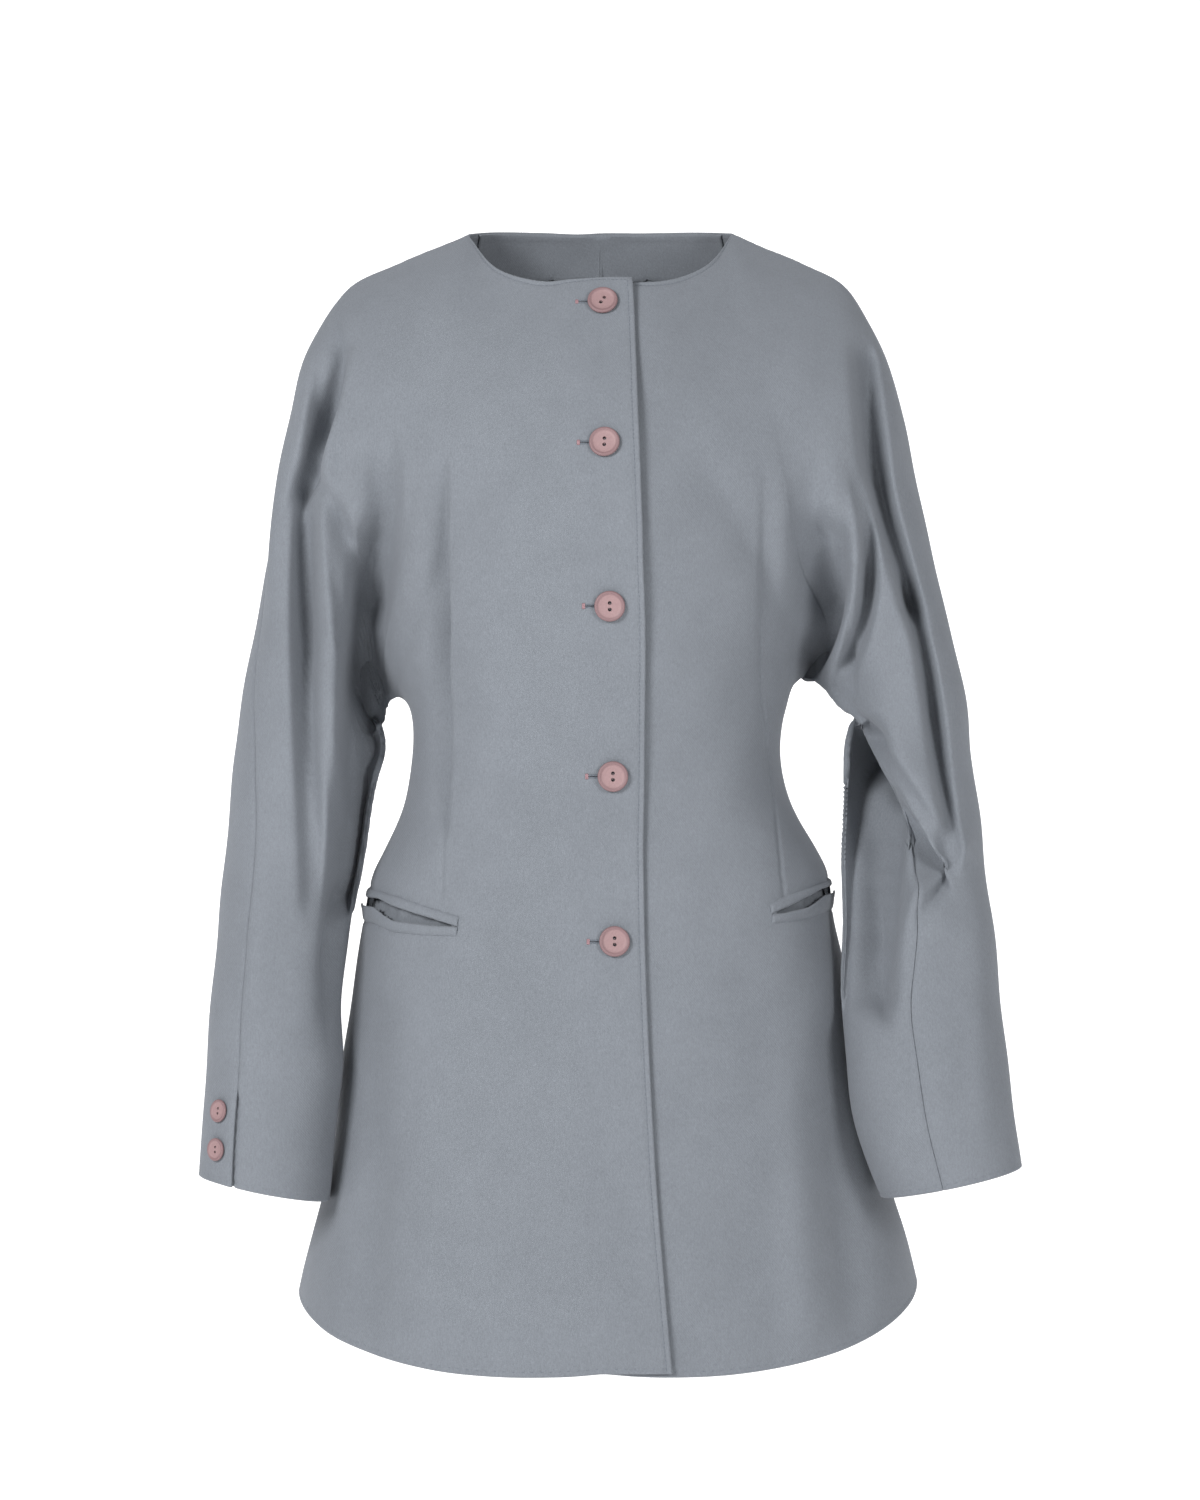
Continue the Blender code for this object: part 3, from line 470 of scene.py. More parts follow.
# Colours, light and camera.
WOOL = (0.138, 0.150, 0.168)
THREAD = (0.11, 0.125, 0.15)
# SLIT_SHADE is painted shade: the near-black colour of a tube that stands for the dark gap of each
# buttonhole.
SLIT_SHADE = (0.012, 0.014, 0.018)
BAR = (0.25, 0.15, 0.165)
BUTTON_FACE = (0.235, 0.152, 0.155)
# BUTTON_RIM_SHADE is painted shade: the darker colour of a button's rim.
BUTTON_RIM_SHADE = (0.17, 0.105, 0.11)
BUTTON_THREAD = (0.12, 0.085, 0.09)
TWILL_ANGLE = math.radians(40)
TWILL_SCALE = 250
HEATHER = 0.16
FLOOR_Z = -1.55
FLOOR_FRONT = -6
SWEEP_FROM = 3.6
SWEEP = 1.4
SWEEP_STEPS = 12
WALL_TOP = 7
STAGE_HALF = 8
PAPER = (0.9, 0.9, 0.9)
PAPER_GLOW = 0.55
ROOM_LIGHT = 0.36
LAMP_AIM = (0, 0, -0.4)
# Lamps: place, size in metres and power in watts.
LAMPS = (
    ("key", (-2.0, -2.7, 0.8), (1.1, 1.1), 136),
    ("fill", (2.2, -2.7, 0.6), (1.1, 1.1), 66),
)
LENS = 106.67
CAMERA = (0, -3.2, -0.3694)


def bezier(start, near, far, end):
    """A curve from start to end, pulled by near at its start and by far at its end."""
    t = np.linspace(0, 1, RUNG_POINTS)[:, None]
    second = start + near
    third = end + far
    return (1 - t) ** 3 * start + 3 * (1 - t) ** 2 * t * second + 3 * (1 - t) * t**2 * third + t**3 * end


def past_centre(curve, edge_x):
    """The curve carried on level from the centre front to the front edge, which lies past it."""
    x = np.linspace(0, edge_x, EDGE_POINTS + 1)[1:]
    centre = curve[-1]
    beyond = np.stack([x, centre[1] + CENTRE_BEND * x**2 / 2, np.full(EDGE_POINTS, centre[2])], axis=1)
    return np.concatenate([curve, beyond])


def line_run(points):
    """Length run along a line of points."""
    return np.concatenate([[0], np.cumsum(np.linalg.norm(np.diff(points, axis=0), axis=1))])


def points_at(at, run, points):
    """The points that lie at these places of the run."""
    return np.stack([np.interp(at, run, points[:, axis]) for axis in range(3)], axis=-1)


def body_rungs(sections, is_front):
    """Level curves round one front or back of the body, from the side seam to the middle."""
    rungs = []
    for k, (row, middle) in enumerate(zip(sections, BODY_MIDDLE)):
        side = np.array(row[:3])
        end = np.array([0, middle.front_y, middle.edge_z] if is_front else [0, middle.back_y, middle.back_z])
        deep = SECTION_FULL * (end[1] - side[1])
        across = SECTION_FULL * (side[0] - end[0])
        droop = (end[2] - side[2]) * HEM_DROOP if k == 0 else 0
        sink = HEM_SAG if k == 0 else 0
        curve = bezier(side, np.array([SIDE_PULL, deep, droop]), np.array([across, 0, sink]), end)
        rungs.append(past_centre(curve, row.edge_x) if is_front else curve)
    return rungs


def yoke_rungs(arch, yoke):
    """Curves from the arch under the arm to the centre, the neck, the shoulder and down the sleeve."""
    rungs = []
    for start, row in zip(arch, yoke):
        x, y, z = row[:3]
        curve = bezier(np.array(start), np.array(row[3:6]), np.array(row[6:]), np.array([max(x, 0), y, z]))
        rungs.append(past_centre(curve, x) if x < 0 else curve)
    return rungs


def sleeve_rungs(sections, is_front):
    """Half ovals round one face of the sleeve, from its inner seam to its outer one."""
    rungs = []
    for row in sections:
        sweep = 180 if is_front else -180
        angle = np.radians(np.linspace(-row.turn, -row.turn + sweep, RUNG_POINTS))
        middle = (row.in_x + row.out_x) / 2
        half = (row.out_x - row.in_x) / 2
        x = middle - half * np.cos(angle)
        y = row.mid_y - row.half_y * np.sin(angle)
        rise = (row.out_z - row.in_z) / (2 * half)
        z = row.in_z + rise * (x - row.in_x)
        rungs.append(np.stack([x, y, z], axis=1))
    return rungs


def back_yoke(front_yoke):
    """The back's yoke ends where the front's does from the neck side outward, with pulls of its own."""
    return BACK_YOKE + [row[:3] + pull for row, pull in zip(front_yoke[len(BACK_YOKE) :], BACK_PULLS)]


def unit(vectors):
    return vectors / np.maximum(np.linalg.norm(vectors, axis=-1, keepdims=True), 1e-9)


def section_steps():
    """For each grid row the section it follows and the way on to the next, closer at the hem and the cuff."""
    rows = BODY_ROWS + YOKE_ROWS + SLEEVE_ROWS
    steps = []
    for k, count in enumerate(rows):
        for step in range(count):
            t = step / count
            if k == 0:
                t = t**EDGE_PACK
            elif k == len(rows) - 1:
                t = 1 - (1 - t) ** EDGE_PACK
            steps.append((k, t))
    return steps + [(len(rows) - 1, 1.0)]


STEPS = section_steps()
# The section number of each row of a panel's grid, from 0 at the hem to 31 at the cuff.
MARKS = np.array([k + t for k, t in STEPS])


def weave(rungs):
    """A grid through the rungs: a smooth curve along each column, with corners kept at the outer edge."""
    shares = np.linspace(0, 1, BASE_COLUMNS + 1)
    keys = []
    for rung in rungs:
        run = line_run(rung)
        keys.append(points_at(shares * run[-1], run, rung))
    keys = np.array(keys)
    chord = np.diff(keys, axis=0)
    span = np.maximum(np.linalg.norm(chord, axis=2, keepdims=True), LEAST_SPAN) ** 0.5
    slope = chord / span
    leave = np.empty_like(keys)
    leave[0] = slope[0]
    leave[-1] = slope[-1]
    leave[1:-1] = (slope[:-1] * span[1:] + slope[1:] * span[:-1]) / (span[1:] + span[:-1])
    arrive = leave.copy()
    sharp = (shares**CORNER_POWER)[:, None]
    for k in CORNER_ROWS:
        leave[k] = (1 - sharp) * leave[k] + sharp * slope[k]
        arrive[k] = (1 - sharp) * arrive[k] + sharp * slope[k - 1]
    lines = [
        (2 * t**3 - 3 * t**2 + 1) * keys[k]
        + (t**3 - 2 * t**2 + t) * span[k] * leave[k]
        + (3 * t**2 - 2 * t**3) * keys[k + 1]
        + (t**3 - t**2) * span[k] * arrive[k + 1]
        for k, t in STEPS
    ]
    return np.array(lines)


def evened(base):
    """The chest smoothed from section to section, so that no line shows where one ends."""
    share = np.linspace(0, 1, base.shape[1])
    across = np.clip(np.minimum(share / EVEN_INNER, (1 - share) / EVEN_OUTER), 0, 1)
    down = np.clip(np.minimum(MARKS - EVEN_FROM, EVEN_TO - MARKS), 0, 1)[1:-1, None]
    weight = (down * across / 2)[:, :, None]
    for _ in range(EVEN_PASSES):
        base[1:-1] += weight * ((base[:-2] + base[2:]) / 2 - base[1:-1])
    return base


def crowded(count):
    """Shares from 0 to 1, closer together near both ends."""
    t = np.linspace(0, 1, count + 1)
    return t - EDGE_CROWD * np.sin(2 * math.pi * t) / (2 * math.pi)


def dart_shares(grid, dart_x):
    """For each row the share of the way across at which the dart's line runs, carried on past its ends."""
    even = np.linspace(0, 1, grid.shape[1])
    found = []
    for line in grid[MARKS <= DART_TOP_ROW]:
        ahead = line[:, 0] - np.interp(-line[:, 2], DART_DOWN, dart_x)
        change = np.flatnonzero((ahead[:-1] * ahead[1:] <= 0) & (even[:-1] > DART_LEAST_SHARE))
        found.append(even[change[-1]] if len(change) else DART_SHARE)
    return np.interp(MARKS, [*MARKS[: len(found)], DART_LOST_ROW], [*found, DART_SHARE])


def reshared(grid, dart):
    """Each row taken again, with columns crowded at both edges and at the dart."""
    even = np.linspace(0, 1, grid.shape[1])
    rows, shares = [], []
    for line, middle in zip(grid, dart):
        outer = middle + (1 - middle) * crowded(OUTER_COLUMNS)[1:]
        shares.append(np.concatenate([middle * crowded(INNER_COLUMNS), outer]))
        rows.append(points_at(shares[-1], even, line))
    return np.array(rows), np.array(shares)


def grid_normals(grid, faces_front):
    """Normals facing out of the garment, told by the panel's outer edge at the hem."""
    normal = unit(np.cross(np.gradient(grid, axis=0), np.gradient(grid, axis=1)))
    looks = -1 if faces_front else 1
    return normal * np.sign(normal[0, -2, 1] * looks)


def fold_path(first, middle, last):
    """A curved line through three points, with its directions."""
    bend = 2 * middle - (first + last) / 2
    t = np.linspace(0, 1, FOLD_STEPS)[:, None]
    path = (1 - t) ** 2 * first + 2 * t * (1 - t) * bend + t**2 * last
    return path, unit(np.gradient(path, axis=0))


def fold_push(grid, normals, folds):
    """How far each point moves: soft folds along its normal, deep troughs straight in and by their lean."""
    moved = np.zeros(grid.shape)
    held = np.clip(along(grid, 1) / LEAN_EDGE, 0, 1)[:, :, None]
    for fold in folds:
        path, way = fold_path(*np.reshape(fold[:6], (3, 2)))
        rows = np.flatnonzero((MARKS >= fold.from_row) & (MARKS <= fold.to_row))
        gap = grid[rows][:, :, None, (0, 2)] - path
        nearest = np.argmin((gap**2).sum(axis=3), axis=2)
        off = np.take_along_axis(gap, nearest[:, :, None, None], axis=2)[:, :, 0]
        ahead = way[nearest]
        beside = off[:, :, 0] * ahead[:, :, 1] - off[:, :, 1] * ahead[:, :, 0]
        beyond = off[:, :, 0] * ahead[:, :, 0] + off[:, :, 1] * ahead[:, :, 1]
        wide = np.where(beside > 0, fold.plus, fold.minus)
        deep = -fold.height >= DEEP_FOLD
        power = DEEP_POWER if deep else SOFT_POWER
        shape = np.exp(-2 * np.abs(beside / wide) ** power - (beyond / FOLD_END) ** 2)
        strength = np.interp(nearest / (FOLD_STEPS - 1), [0, 0.5, 1], [fold.start, 1, fold.end])
        seen = np.clip(normals[rows][:, :, 1] * fold.looks * (DEEP_VIEW if deep else FOLD_VIEW), 0, 1)
        edge = np.minimum(MARKS[rows] - fold.from_row, fold.to_row - MARKS[rows])
        reach = np.clip(edge + FOLD_ROW_FADE, 0, 1) if fold.to_row < MARKS[-1] else np.ones(len(rows))
        push = (fold.height * shape * strength * seen * reach[:, None])[:, :, None]
        straight_in = held[rows] * (-fold.lean, 0, 0) + (0, fold.looks, 0)
        moved[rows] += push * (straight_in if deep else normals[rows])
    return moved


def loose_cloth(grid):
    """Long shallow waves that keep the cloth from looking drawn tight."""
    x, z = grid[:, :, 0], grid[:, :, 2]
    push = np.zeros(x.shape)
    for high, across, down, phase in LOOSE_WAVES:
        push += high * np.sin(x / across * 2 * math.pi + z / down * 2 * math.pi + phase)
    return push


def along(grid, axis):
    """Length run along the rows (axis 0) or across the columns (axis 1)."""
    steps = np.linalg.norm(np.diff(grid, axis=axis), axis=2)
    start = np.zeros_like(steps[:1] if axis == 0 else steps[:, :1])
    return np.concatenate([start, np.cumsum(steps, axis=axis)], axis=axis)


def lap_push(grid, height, start, full):
    """How far the points of a front move out or in where the two fronts lap."""
    lift = np.clip((grid[:, :, 0] - start) / (full - start), 0, 1)
    lift *= MARKS[:, None] < HIGHEST_LAP_ROW
    return height * (3 * lift**2 - 2 * lift**3)[:, :, None]


def build_panels():
    """The four panels: grid, shares and normals, with folds, the front lap and shared lines at the seams."""
    sides = {
        "right": (-1, RIGHT_BODY, RIGHT_ARCH, RIGHT_FRONT_YOKE, RIGHT_SLEEVE, RIGHT_FOLDS, RIGHT_DART_X),
        "left": (1, LEFT_BODY, LEFT_ARCH, LEFT_FRONT_YOKE, LEFT_SLEEVE, LEFT_FOLDS, LEFT_DART_X),
    }
    panels = {}
    for side, (sign, body, arch, yoke, sleeve, folds, dart_x) in sides.items():
        for face, front in (("front", True), ("back", False)):
            yoke_rows = yoke if front else back_yoke(yoke)
            base = weave(body_rungs(body, front) + yoke_rungs(arch, yoke_rows) + sleeve_rungs(sleeve, front))
            base = evened(base)
            grid, shares = reshared(base, dart_shares(base, dart_x))
            grid[:, :, 0] *= sign
            normals = grid_normals(grid, front)
            grid += fold_push(grid, normals, folds) + normals * loose_cloth(grid)[:, :, None]
            if front:
                grid += normals * lap_push(grid, *LAPS[side])
            panels[f"{side}_{face}"] = SimpleNamespace(grid=grid, shares=shares, front=front)
    pairs = [(panels[side + "_front"], panels[side + "_back"]) for side in sides]
    for pair in pairs:
        join(*pair)
    for panel in panels.values():
        panel.normals = grid_normals(panel.grid, panel.front)
    for pair in pairs:
        share_normals(*pair)
    centre_rows = MARKS <= CENTRE_BACK_ROW
    backs = (panels["left_back"], panels["right_back"])
    middle = unit(backs[0].normals[centre_rows, -1] + backs[1].normals[centre_rows, -1])
    for panel in backs:
        panel.normals[centre_rows, -1] = middle
        panel.grid[centre_rows, -1, 0] = 0
    for name, panel in panels.items():
        sew(name, panel)
    return panels


def seams():
    """The columns and rows of a panel that are sewn to its other face: the side seam and the outer seam."""
    return (0, np.full(len(MARKS), True)), (-1, MARKS >= NECK_POINT_ROW)


def join(front, back):
    """Front and back brought to one line at the side, underarm and overarm seams, easing out near them."""
    for column, rows in seams():
        shared = (front.grid[rows, column] + back.grid[rows, column]) / 2
        for panel in (front, back):
            run = along(panel.grid, 1)[rows]
            far = run if column == 0 else run[:, -1:] - run
            ease = bell(far, SEAM_EASE)[:, :, None]
            panel.grid[rows] += (shared - panel.grid[rows, column])[:, None] * ease


def share_normals(front, back):
    """The same normals for front and back along their seams."""
    for column, rows in seams():
        shared = unit(front.normals[rows, column] + back.normals[rows, column])
        for panel in (front, back):
            panel.normals[rows, column] = shared


def free_outer(name):
    """Rows at which the panel's outer edge is free: the front edge and the neck, or only the neck."""
    free = MARKS < NECK_POINT_ROW
    if name.endswith("back"):
        free &= MARKS >= CENTRE_BACK_ROW
    return free


def bell(distance, wide):
    """1 at no distance, fading out on both sides over this width."""
    return np.exp(-((distance / wide) ** 2))


def sew(name, panel):
    """The furrows of seams, darts and edge stitching, the vent and the seam gaps."""
    grid, normals, free = panel.grid, panel.normals, free_outer(name)[:, None]
    panel.run = run = along(grid, 1)
    panel.fall = fall = along(grid, 0)
    from_outer = run[:, -1:] - run
    stray = PUCKER_STRAY * np.sin(fall / PUCKER_DRIFT)
    pucker = 1 + PUCKER * np.sin(fall / PUCKER_LONG * 2 * math.pi + stray)
    seam = bell(run, SEAM_WIDE) + bell(from_outer, SEAM_WIDE) * ~free
    stitched = bell(from_outer - EDGE_STITCH, STITCH_WIDE) * free
    push = -SEAM_SINK * seam * pucker - STITCH_SINK * stitched * pucker
    for from_end in (fall, fall[-1:] - fall):
        push -= HEM_SINK * bell(from_end - HEM_STITCH, STITCH_WIDE)
    if panel.front:
        off = np.abs(run - run[:, INNER_COLUMNS, None])
        high = np.clip((grid[:, :, 2] - DART_LOW) / DART_FOOT, 0, 1)
        high *= np.clip((DART_HIGH - grid[:, :, 2]) / DART_FADE, 0, 1) * (MARKS < DART_TOP_ROW)[:, None]
        push -= DART_SINK * bell(off, DART_WIDE) * high * pucker
    grid += normals * push[:, :, None]
    vent = np.clip((MARKS - VENT_TOP_ROW) / VENT_FADE, 0, 1)[:, None]
    if panel.front:
        inward = unit(grid[:, -4] - grid[:, -1])[:, None]
        near = (bell(from_outer, VENT_SINK_WIDE) * vent)[:, :, None]
        grid += inward * VENT_OPEN * near - normals * VENT_SINK * near
    else:
        grid += normals * VENT_LIFT * (bell(from_outer, VENT_LIFT_WIDE) * vent)[:, :, None]
    grid[:, 0] += SEAM_HALF * unit(grid[:, 1] - grid[:, 0])
    grid[:, -1] += SEAM_HALF * unit(grid[:, -2] - grid[:, -1])


def add_object(name, data):
    made = bpy.data.objects.new(name, data)
    bpy.context.scene.collection.objects.link(made)
    return made


def add_mesh(name, points, faces, material, smooth=True):
    """A piece of the garment from points in millimetres."""
    mesh = bpy.data.meshes.new(name)
    mesh.from_pydata((points * MM).tolist(), [], faces)
    mesh.polygons.foreach_set("use_smooth", [smooth] * len(mesh.polygons))
    mesh.materials.append(material)
    mesh.update()
    piece = add_object(name, mesh)
    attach(piece, "root")
    return piece


def grid_quads(rows, columns):
    """The four corners of each cell of a grid of numbered points."""
    index = np.arange(rows * columns).reshape(rows, columns)
    return np.stack([index[:-1, :-1], index[1:, :-1], index[1:, 1:], index[:-1, 1:]], axis=-1)


def shell(name, outer, inner, material, free=(0, 0, 0, 0), keep=None):
    """A closed sheet of cloth between two grids, without the cells that aren't kept.

    Free says how far its first row, last row, first column and last column are rounded, as shares.
    """
    rows, columns = outer.shape[:2]
    count = rows * columns
    quads = grid_quads(rows, columns)
    quads = quads[keep] if keep is not None else quads.reshape(-1, 4)
    ends = np.concatenate([quads[:, [k, (k + 1) % 4]] for k in range(4)])
    code = ends[:, 0] * count + ends[:, 1]
    back = ends[:, 1] * count + ends[:, 0]
    border = ends[~np.isin(code, back)]
    flat_outer, flat_inner = outer.reshape(-1, 3), inner.reshape(-1, 3)
    rim = np.unique(border)
    number = {v: 2 * count + k for k, v in enumerate(rim)}
    bulge = np.zeros(outer.shape)
    bulge[0] += unit(outer[0] - outer[1]) * free[0]
    bulge[-1] += unit(outer[-1] - outer[-2]) * free[1]
    bulge[:, 0] += unit(outer[:, 0] - outer[:, 1]) * free[2]
    bulge[:, -1] += unit(outer[:, -1] - outer[:, -2]) * np.reshape(free[3], (-1, 1))
    middle = (flat_outer[rim] + flat_inner[rim]) / 2 + bulge.reshape(-1, 3)[rim] * EDGE_ROUND
    sides = []
    for a, b in border:
        sides.append((b, a, number[a], number[b]))
        sides.append((number[b], number[a], a + count, b + count))
    faces = np.concatenate([quads, quads[:, ::-1] + count, np.array(sides)])
    points = np.concatenate([flat_outer, flat_inner, middle])
    volume = 0
    for corners in ([0, 1, 2], [0, 2, 3]):
        corner = points[faces[:, corners]]
        volume += np.einsum("ij,ij->", corner[:, 0], np.cross(corner[:, 1], corner[:, 2]))
    faces = faces[:, ::-1] if volume < 0 else faces
    used = np.zeros(len(points), bool)
    used[faces.ravel()] = True
    renumber = np.cumsum(used) - 1
    return add_mesh(name, points[used], renumber[faces].tolist(), material)


def place_at(panel, mark, share):
    """The place and the normal at a section number and a share of the way across."""
    row = min(np.interp(mark, MARKS, np.arange(len(MARKS))), len(MARKS) - PAST_LAST)
    column = np.interp(share, panel.shares[int(row)], np.arange(panel.grid.shape[1]))
    return place_in(panel, row, column)


def place_in(panel, row, column):
    """The place and the normal at a row and a column that may lie between those of the grid."""
    low = int(min(max(row, 0), panel.grid.shape[0] - PAST_LAST))
    left = int(min(max(column, 0), panel.grid.shape[1] - PAST_LAST))
    r, c = row - low, column - left
    weight = np.array([[(1 - r) * (1 - c), (1 - r) * c], [r * (1 - c), r * c]])[:, :, None]
    part = np.s_[low : low + 2, left : left + 2]
    return (panel.grid[part] * weight).sum(axis=(0, 1)), unit((panel.normals[part] * weight).sum(axis=(0, 1)))


def mark_at_height(panel, height, share):
    """The section number at which the line of one share is that high on the body."""
    body = np.flatnonzero(MARKS <= BODY_TOP_ROW)
    line = [np.interp(share, panel.shares[row], panel.grid[row, :, 2]) for row in body]
    return np.interp(height, line, MARKS[body])


def band(panel, shares, heights, outs):
    """A grid of places on a front, one row for each line of heights, moved out by its outs."""
    rows = []
    for level, out in zip(heights, outs):
        line = []
        for share, height, o in zip(shares, level, out):
            place, normal = place_at(panel, mark_at_height(panel, height, share), share)
            line.append(place + normal * o)
        rows.append(line)
    return np.array(rows)


def pocket_lines(pocket, shares):
    """The heights of a pocket's lines and how far its lower welt stands off, at shares of the way across."""
    places, *lines = zip(*pocket)
    return [np.interp(shares, places, line) for line in lines]


def mouth_kept(panel, pocket):
    """Which cells of a front are kept: all but those in the pocket's mouth."""
    centre = (panel.shares[:-1, :-1] + panel.shares[1:, 1:]) / 2
    height = (panel.grid[:-1, :-1, 2] + panel.grid[1:, 1:, 2]) / 2
    _, upper_low, lower_top, _, _ = pocket_lines(pocket, centre)
    inside = (centre > pocket[0].share + MOUTH_END) & (centre < pocket[-1].share - MOUTH_END)
    inside &= (height < upper_low + MOUTH_SPARE) & (height > lower_top - MOUTH_SPARE)
    inside &= (MARKS[:-1] < POCKET_TOP_ROW)[:, None]
    return ~inside


def pocket_furrows(panel, pocket):
    """The stitched ditches above the upper welt and below the lower one."""
    shares, z = panel.shares, panel.grid[:, :, 2]
    upper_top, _, _, lower_low, _ = pocket_lines(pocket, shares)
    reach = np.clip((pocket[-1].share + FURROW_END - shares) / FURROW_END, 0, 1)
    reach *= np.clip((shares - pocket[0].share + FURROW_START) / FURROW_FADE, 0, 1)
    reach *= (MARKS < POCKET_TOP_ROW)[:, None]
    push = bell(z - upper_top - FURROW_OFF, FURROW_WIDE) + bell(z - lower_low + FURROW_OFF, FURROW_WIDE)
    panel.grid -= panel.normals * (POCKET_SINK * push * reach)[:, :, None]


def strip(name, node, near, far, cloth, free=(0, 0, 0, 0)):
    """A small strip that is sewn down, in place of a node."""
    piece = shell(name, near, far, cloth, free)
    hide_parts(node)


def build_pocket(side, panel, pocket, cloth):
    """The two rounded welts of one pocket and the rippled facing that shows in its mouth."""
    shares = np.linspace(pocket[0].share, pocket[-1].share, WELT_STEPS)
    upper_top, upper_low, lower_top, lower_low, stand = pocket_lines(pocket, shares)
    welts = (("upper", upper_top, upper_low, UPPER_STAND), ("lower", lower_low, lower_top, 1))
    for name, top, low, stands in welts:
        heights = [top + (low - top) * way for way, _, _ in WELT_PROFILE]
        outs = []
        for way, rise, _ in WELT_PROFILE:
            soft = WELT_WAVE * np.sin(shares * WELT_PACE + way * WELT_TURN) * way
            outs.append(rise + stand * stands * way**2 + soft)
        over = band(panel, shares, heights, outs)
        inner_outs = [out - WELT * lean for out, (_, _, lean) in zip(outs, WELT_PROFILE)]
        under = band(panel, shares, heights, inner_outs)
        node = f"{side}_pocket_{name}_welt"
        strip(f"{side}_{name}_welt", node, over, under, cloth, WELT_FREE)
    inside = np.linspace(shares[0] + FACING_ENDS[0], shares[-1] + FACING_ENDS[1], WELT_STEPS)
    high = np.interp(inside, shares, upper_low) + FACING_SPARE
    low = np.interp(inside, shares, lower_top) - FACING_SPARE
    heights, outs = [], []
    for t in np.linspace(0, 1, FACING_ROWS):
        heights.append(high + (low - high) * t)
        bow = math.sin(math.pi * t)
        ripple = sum(rise * np.sin(inside * pace + turn * t) for rise, pace, turn in FACING_WAVES)
        outs.append(-CLOTH - FACING_GAP - FACING_DROP * bow - ripple * bow)
    near = band(panel, inside, heights, outs)
    far = band(panel, inside, heights, [out - FACING for out in outs])
    strip(f"{side}_facing", f"{side}_pocket_facing", near, far, cloth)


def build_neck_facing(panels, cloth):
    """The facing inside the back of the neck, from its edge down the two backs."""
    near, far = [], []
    for name in ("right_back", "left_back"):
        panel = panels[name]
        rows = np.flatnonzero((MARKS >= CENTRE_BACK_ROW) & (MARKS < NECK_POINT_ROW - NECK_FACING_SHORT))
        rows = rows[::-1] if name.startswith("right") else rows[1:]
        for row in rows:
            reach = np.searchsorted(-(panel.run[row, -1] - panel.run[row]), -NECK_FACING)
            take = np.linspace(panel.grid.shape[1] - 1, reach, NECK_FACING_COLUMNS)
            line = [place_in(panel, row, column) for column in take]
            near.append([place - (CLOTH + NECK_GAP) * normal for place, normal in line])
            far.append([place - (CLOTH + NECK_GAP + FACING) * normal for place, normal in line])
    strip("neck_facing", "back_neck_facing", np.array(near), np.array(far), cloth, (0, 0, 0, 1))


def build_underlap(side, panel, cloth):
    """The strip that shows in the open vent of a cuff."""
    rows = np.flatnonzero(MARKS >= VENT_TOP_ROW)
    part = np.s_[rows[0] :, -UNDERLAP_COLUMNS:]
    grid, normals = panel.grid[part], panel.normals[part]
    near = grid - (CLOTH + UNDERLAP_GAP) * normals
    steps = np.linspace(0, UNDERLAP_PAST, UNDERLAP_EXTRA + 1)[1:, None]
    ahead = unit(grid[:, -1] - grid[:, -3])[:, None] * steps
    near = np.concatenate([near, near[:, -1:] + ahead], axis=1)
    normals = np.concatenate([normals, np.repeat(normals[:, -1:], UNDERLAP_EXTRA, axis=1)], axis=1)
    far = near - FACING * normals
    strip(side + "_underlap", side + "_cuff_underlap", near, far, cloth)


def seen_at(tree, x, z):
    """The place and the level direction that show at x and z in a view from the front."""
    place, soft, _, _ = tree.ray_cast(Vector((x, VIEW_FROM, z)), Vector((0, 1, 0)))
    for dx, dz in NORMAL_TAPS:
        soft = soft + tree.ray_cast(Vector((x + dx, VIEW_FROM, z + dz)), Vector((0, 1, 0)))[1]
    return np.array(place), np.array(soft.normalized()) * -math.copysign(1, soft.y)


def cross_ways(normal, tilt):
    """Directions across and up a face with this normal, turned by the tilt."""
    across = unit(np.cross((0, 0, 1), normal))
    up = np.cross(normal, across)
    return across * math.cos(tilt) + up * math.sin(tilt), up * math.cos(tilt) - across * math.sin(tilt)


def ring_faces(first, sides, rings):
    """Faces between rings of points whose numbers follow one another from the first."""
    faces = []
    for low in range(first, first + (rings - 1) * sides, sides):
        for k in range(sides):
            n = (k + 1) % sides
            faces.append([low + k, low + n, low + sides + n, low + sides + k])
    return faces


def drill(piece, cutter):
    """The piece's mesh without the cutter's room; the cutter goes."""
    modifier = piece.modifiers.new("bores", "BOOLEAN")
    modifier.object = cutter
    modifier.solver = "EXACT"
    graph = bpy.context.evaluated_depsgraph_get()
    drilled = bpy.data.meshes.new_from_object(piece.evaluated_get(graph))
    piece.modifiers.clear()
    piece.data = drilled
    bpy.data.objects.remove(cutter, do_unlink=True)
    return drilled


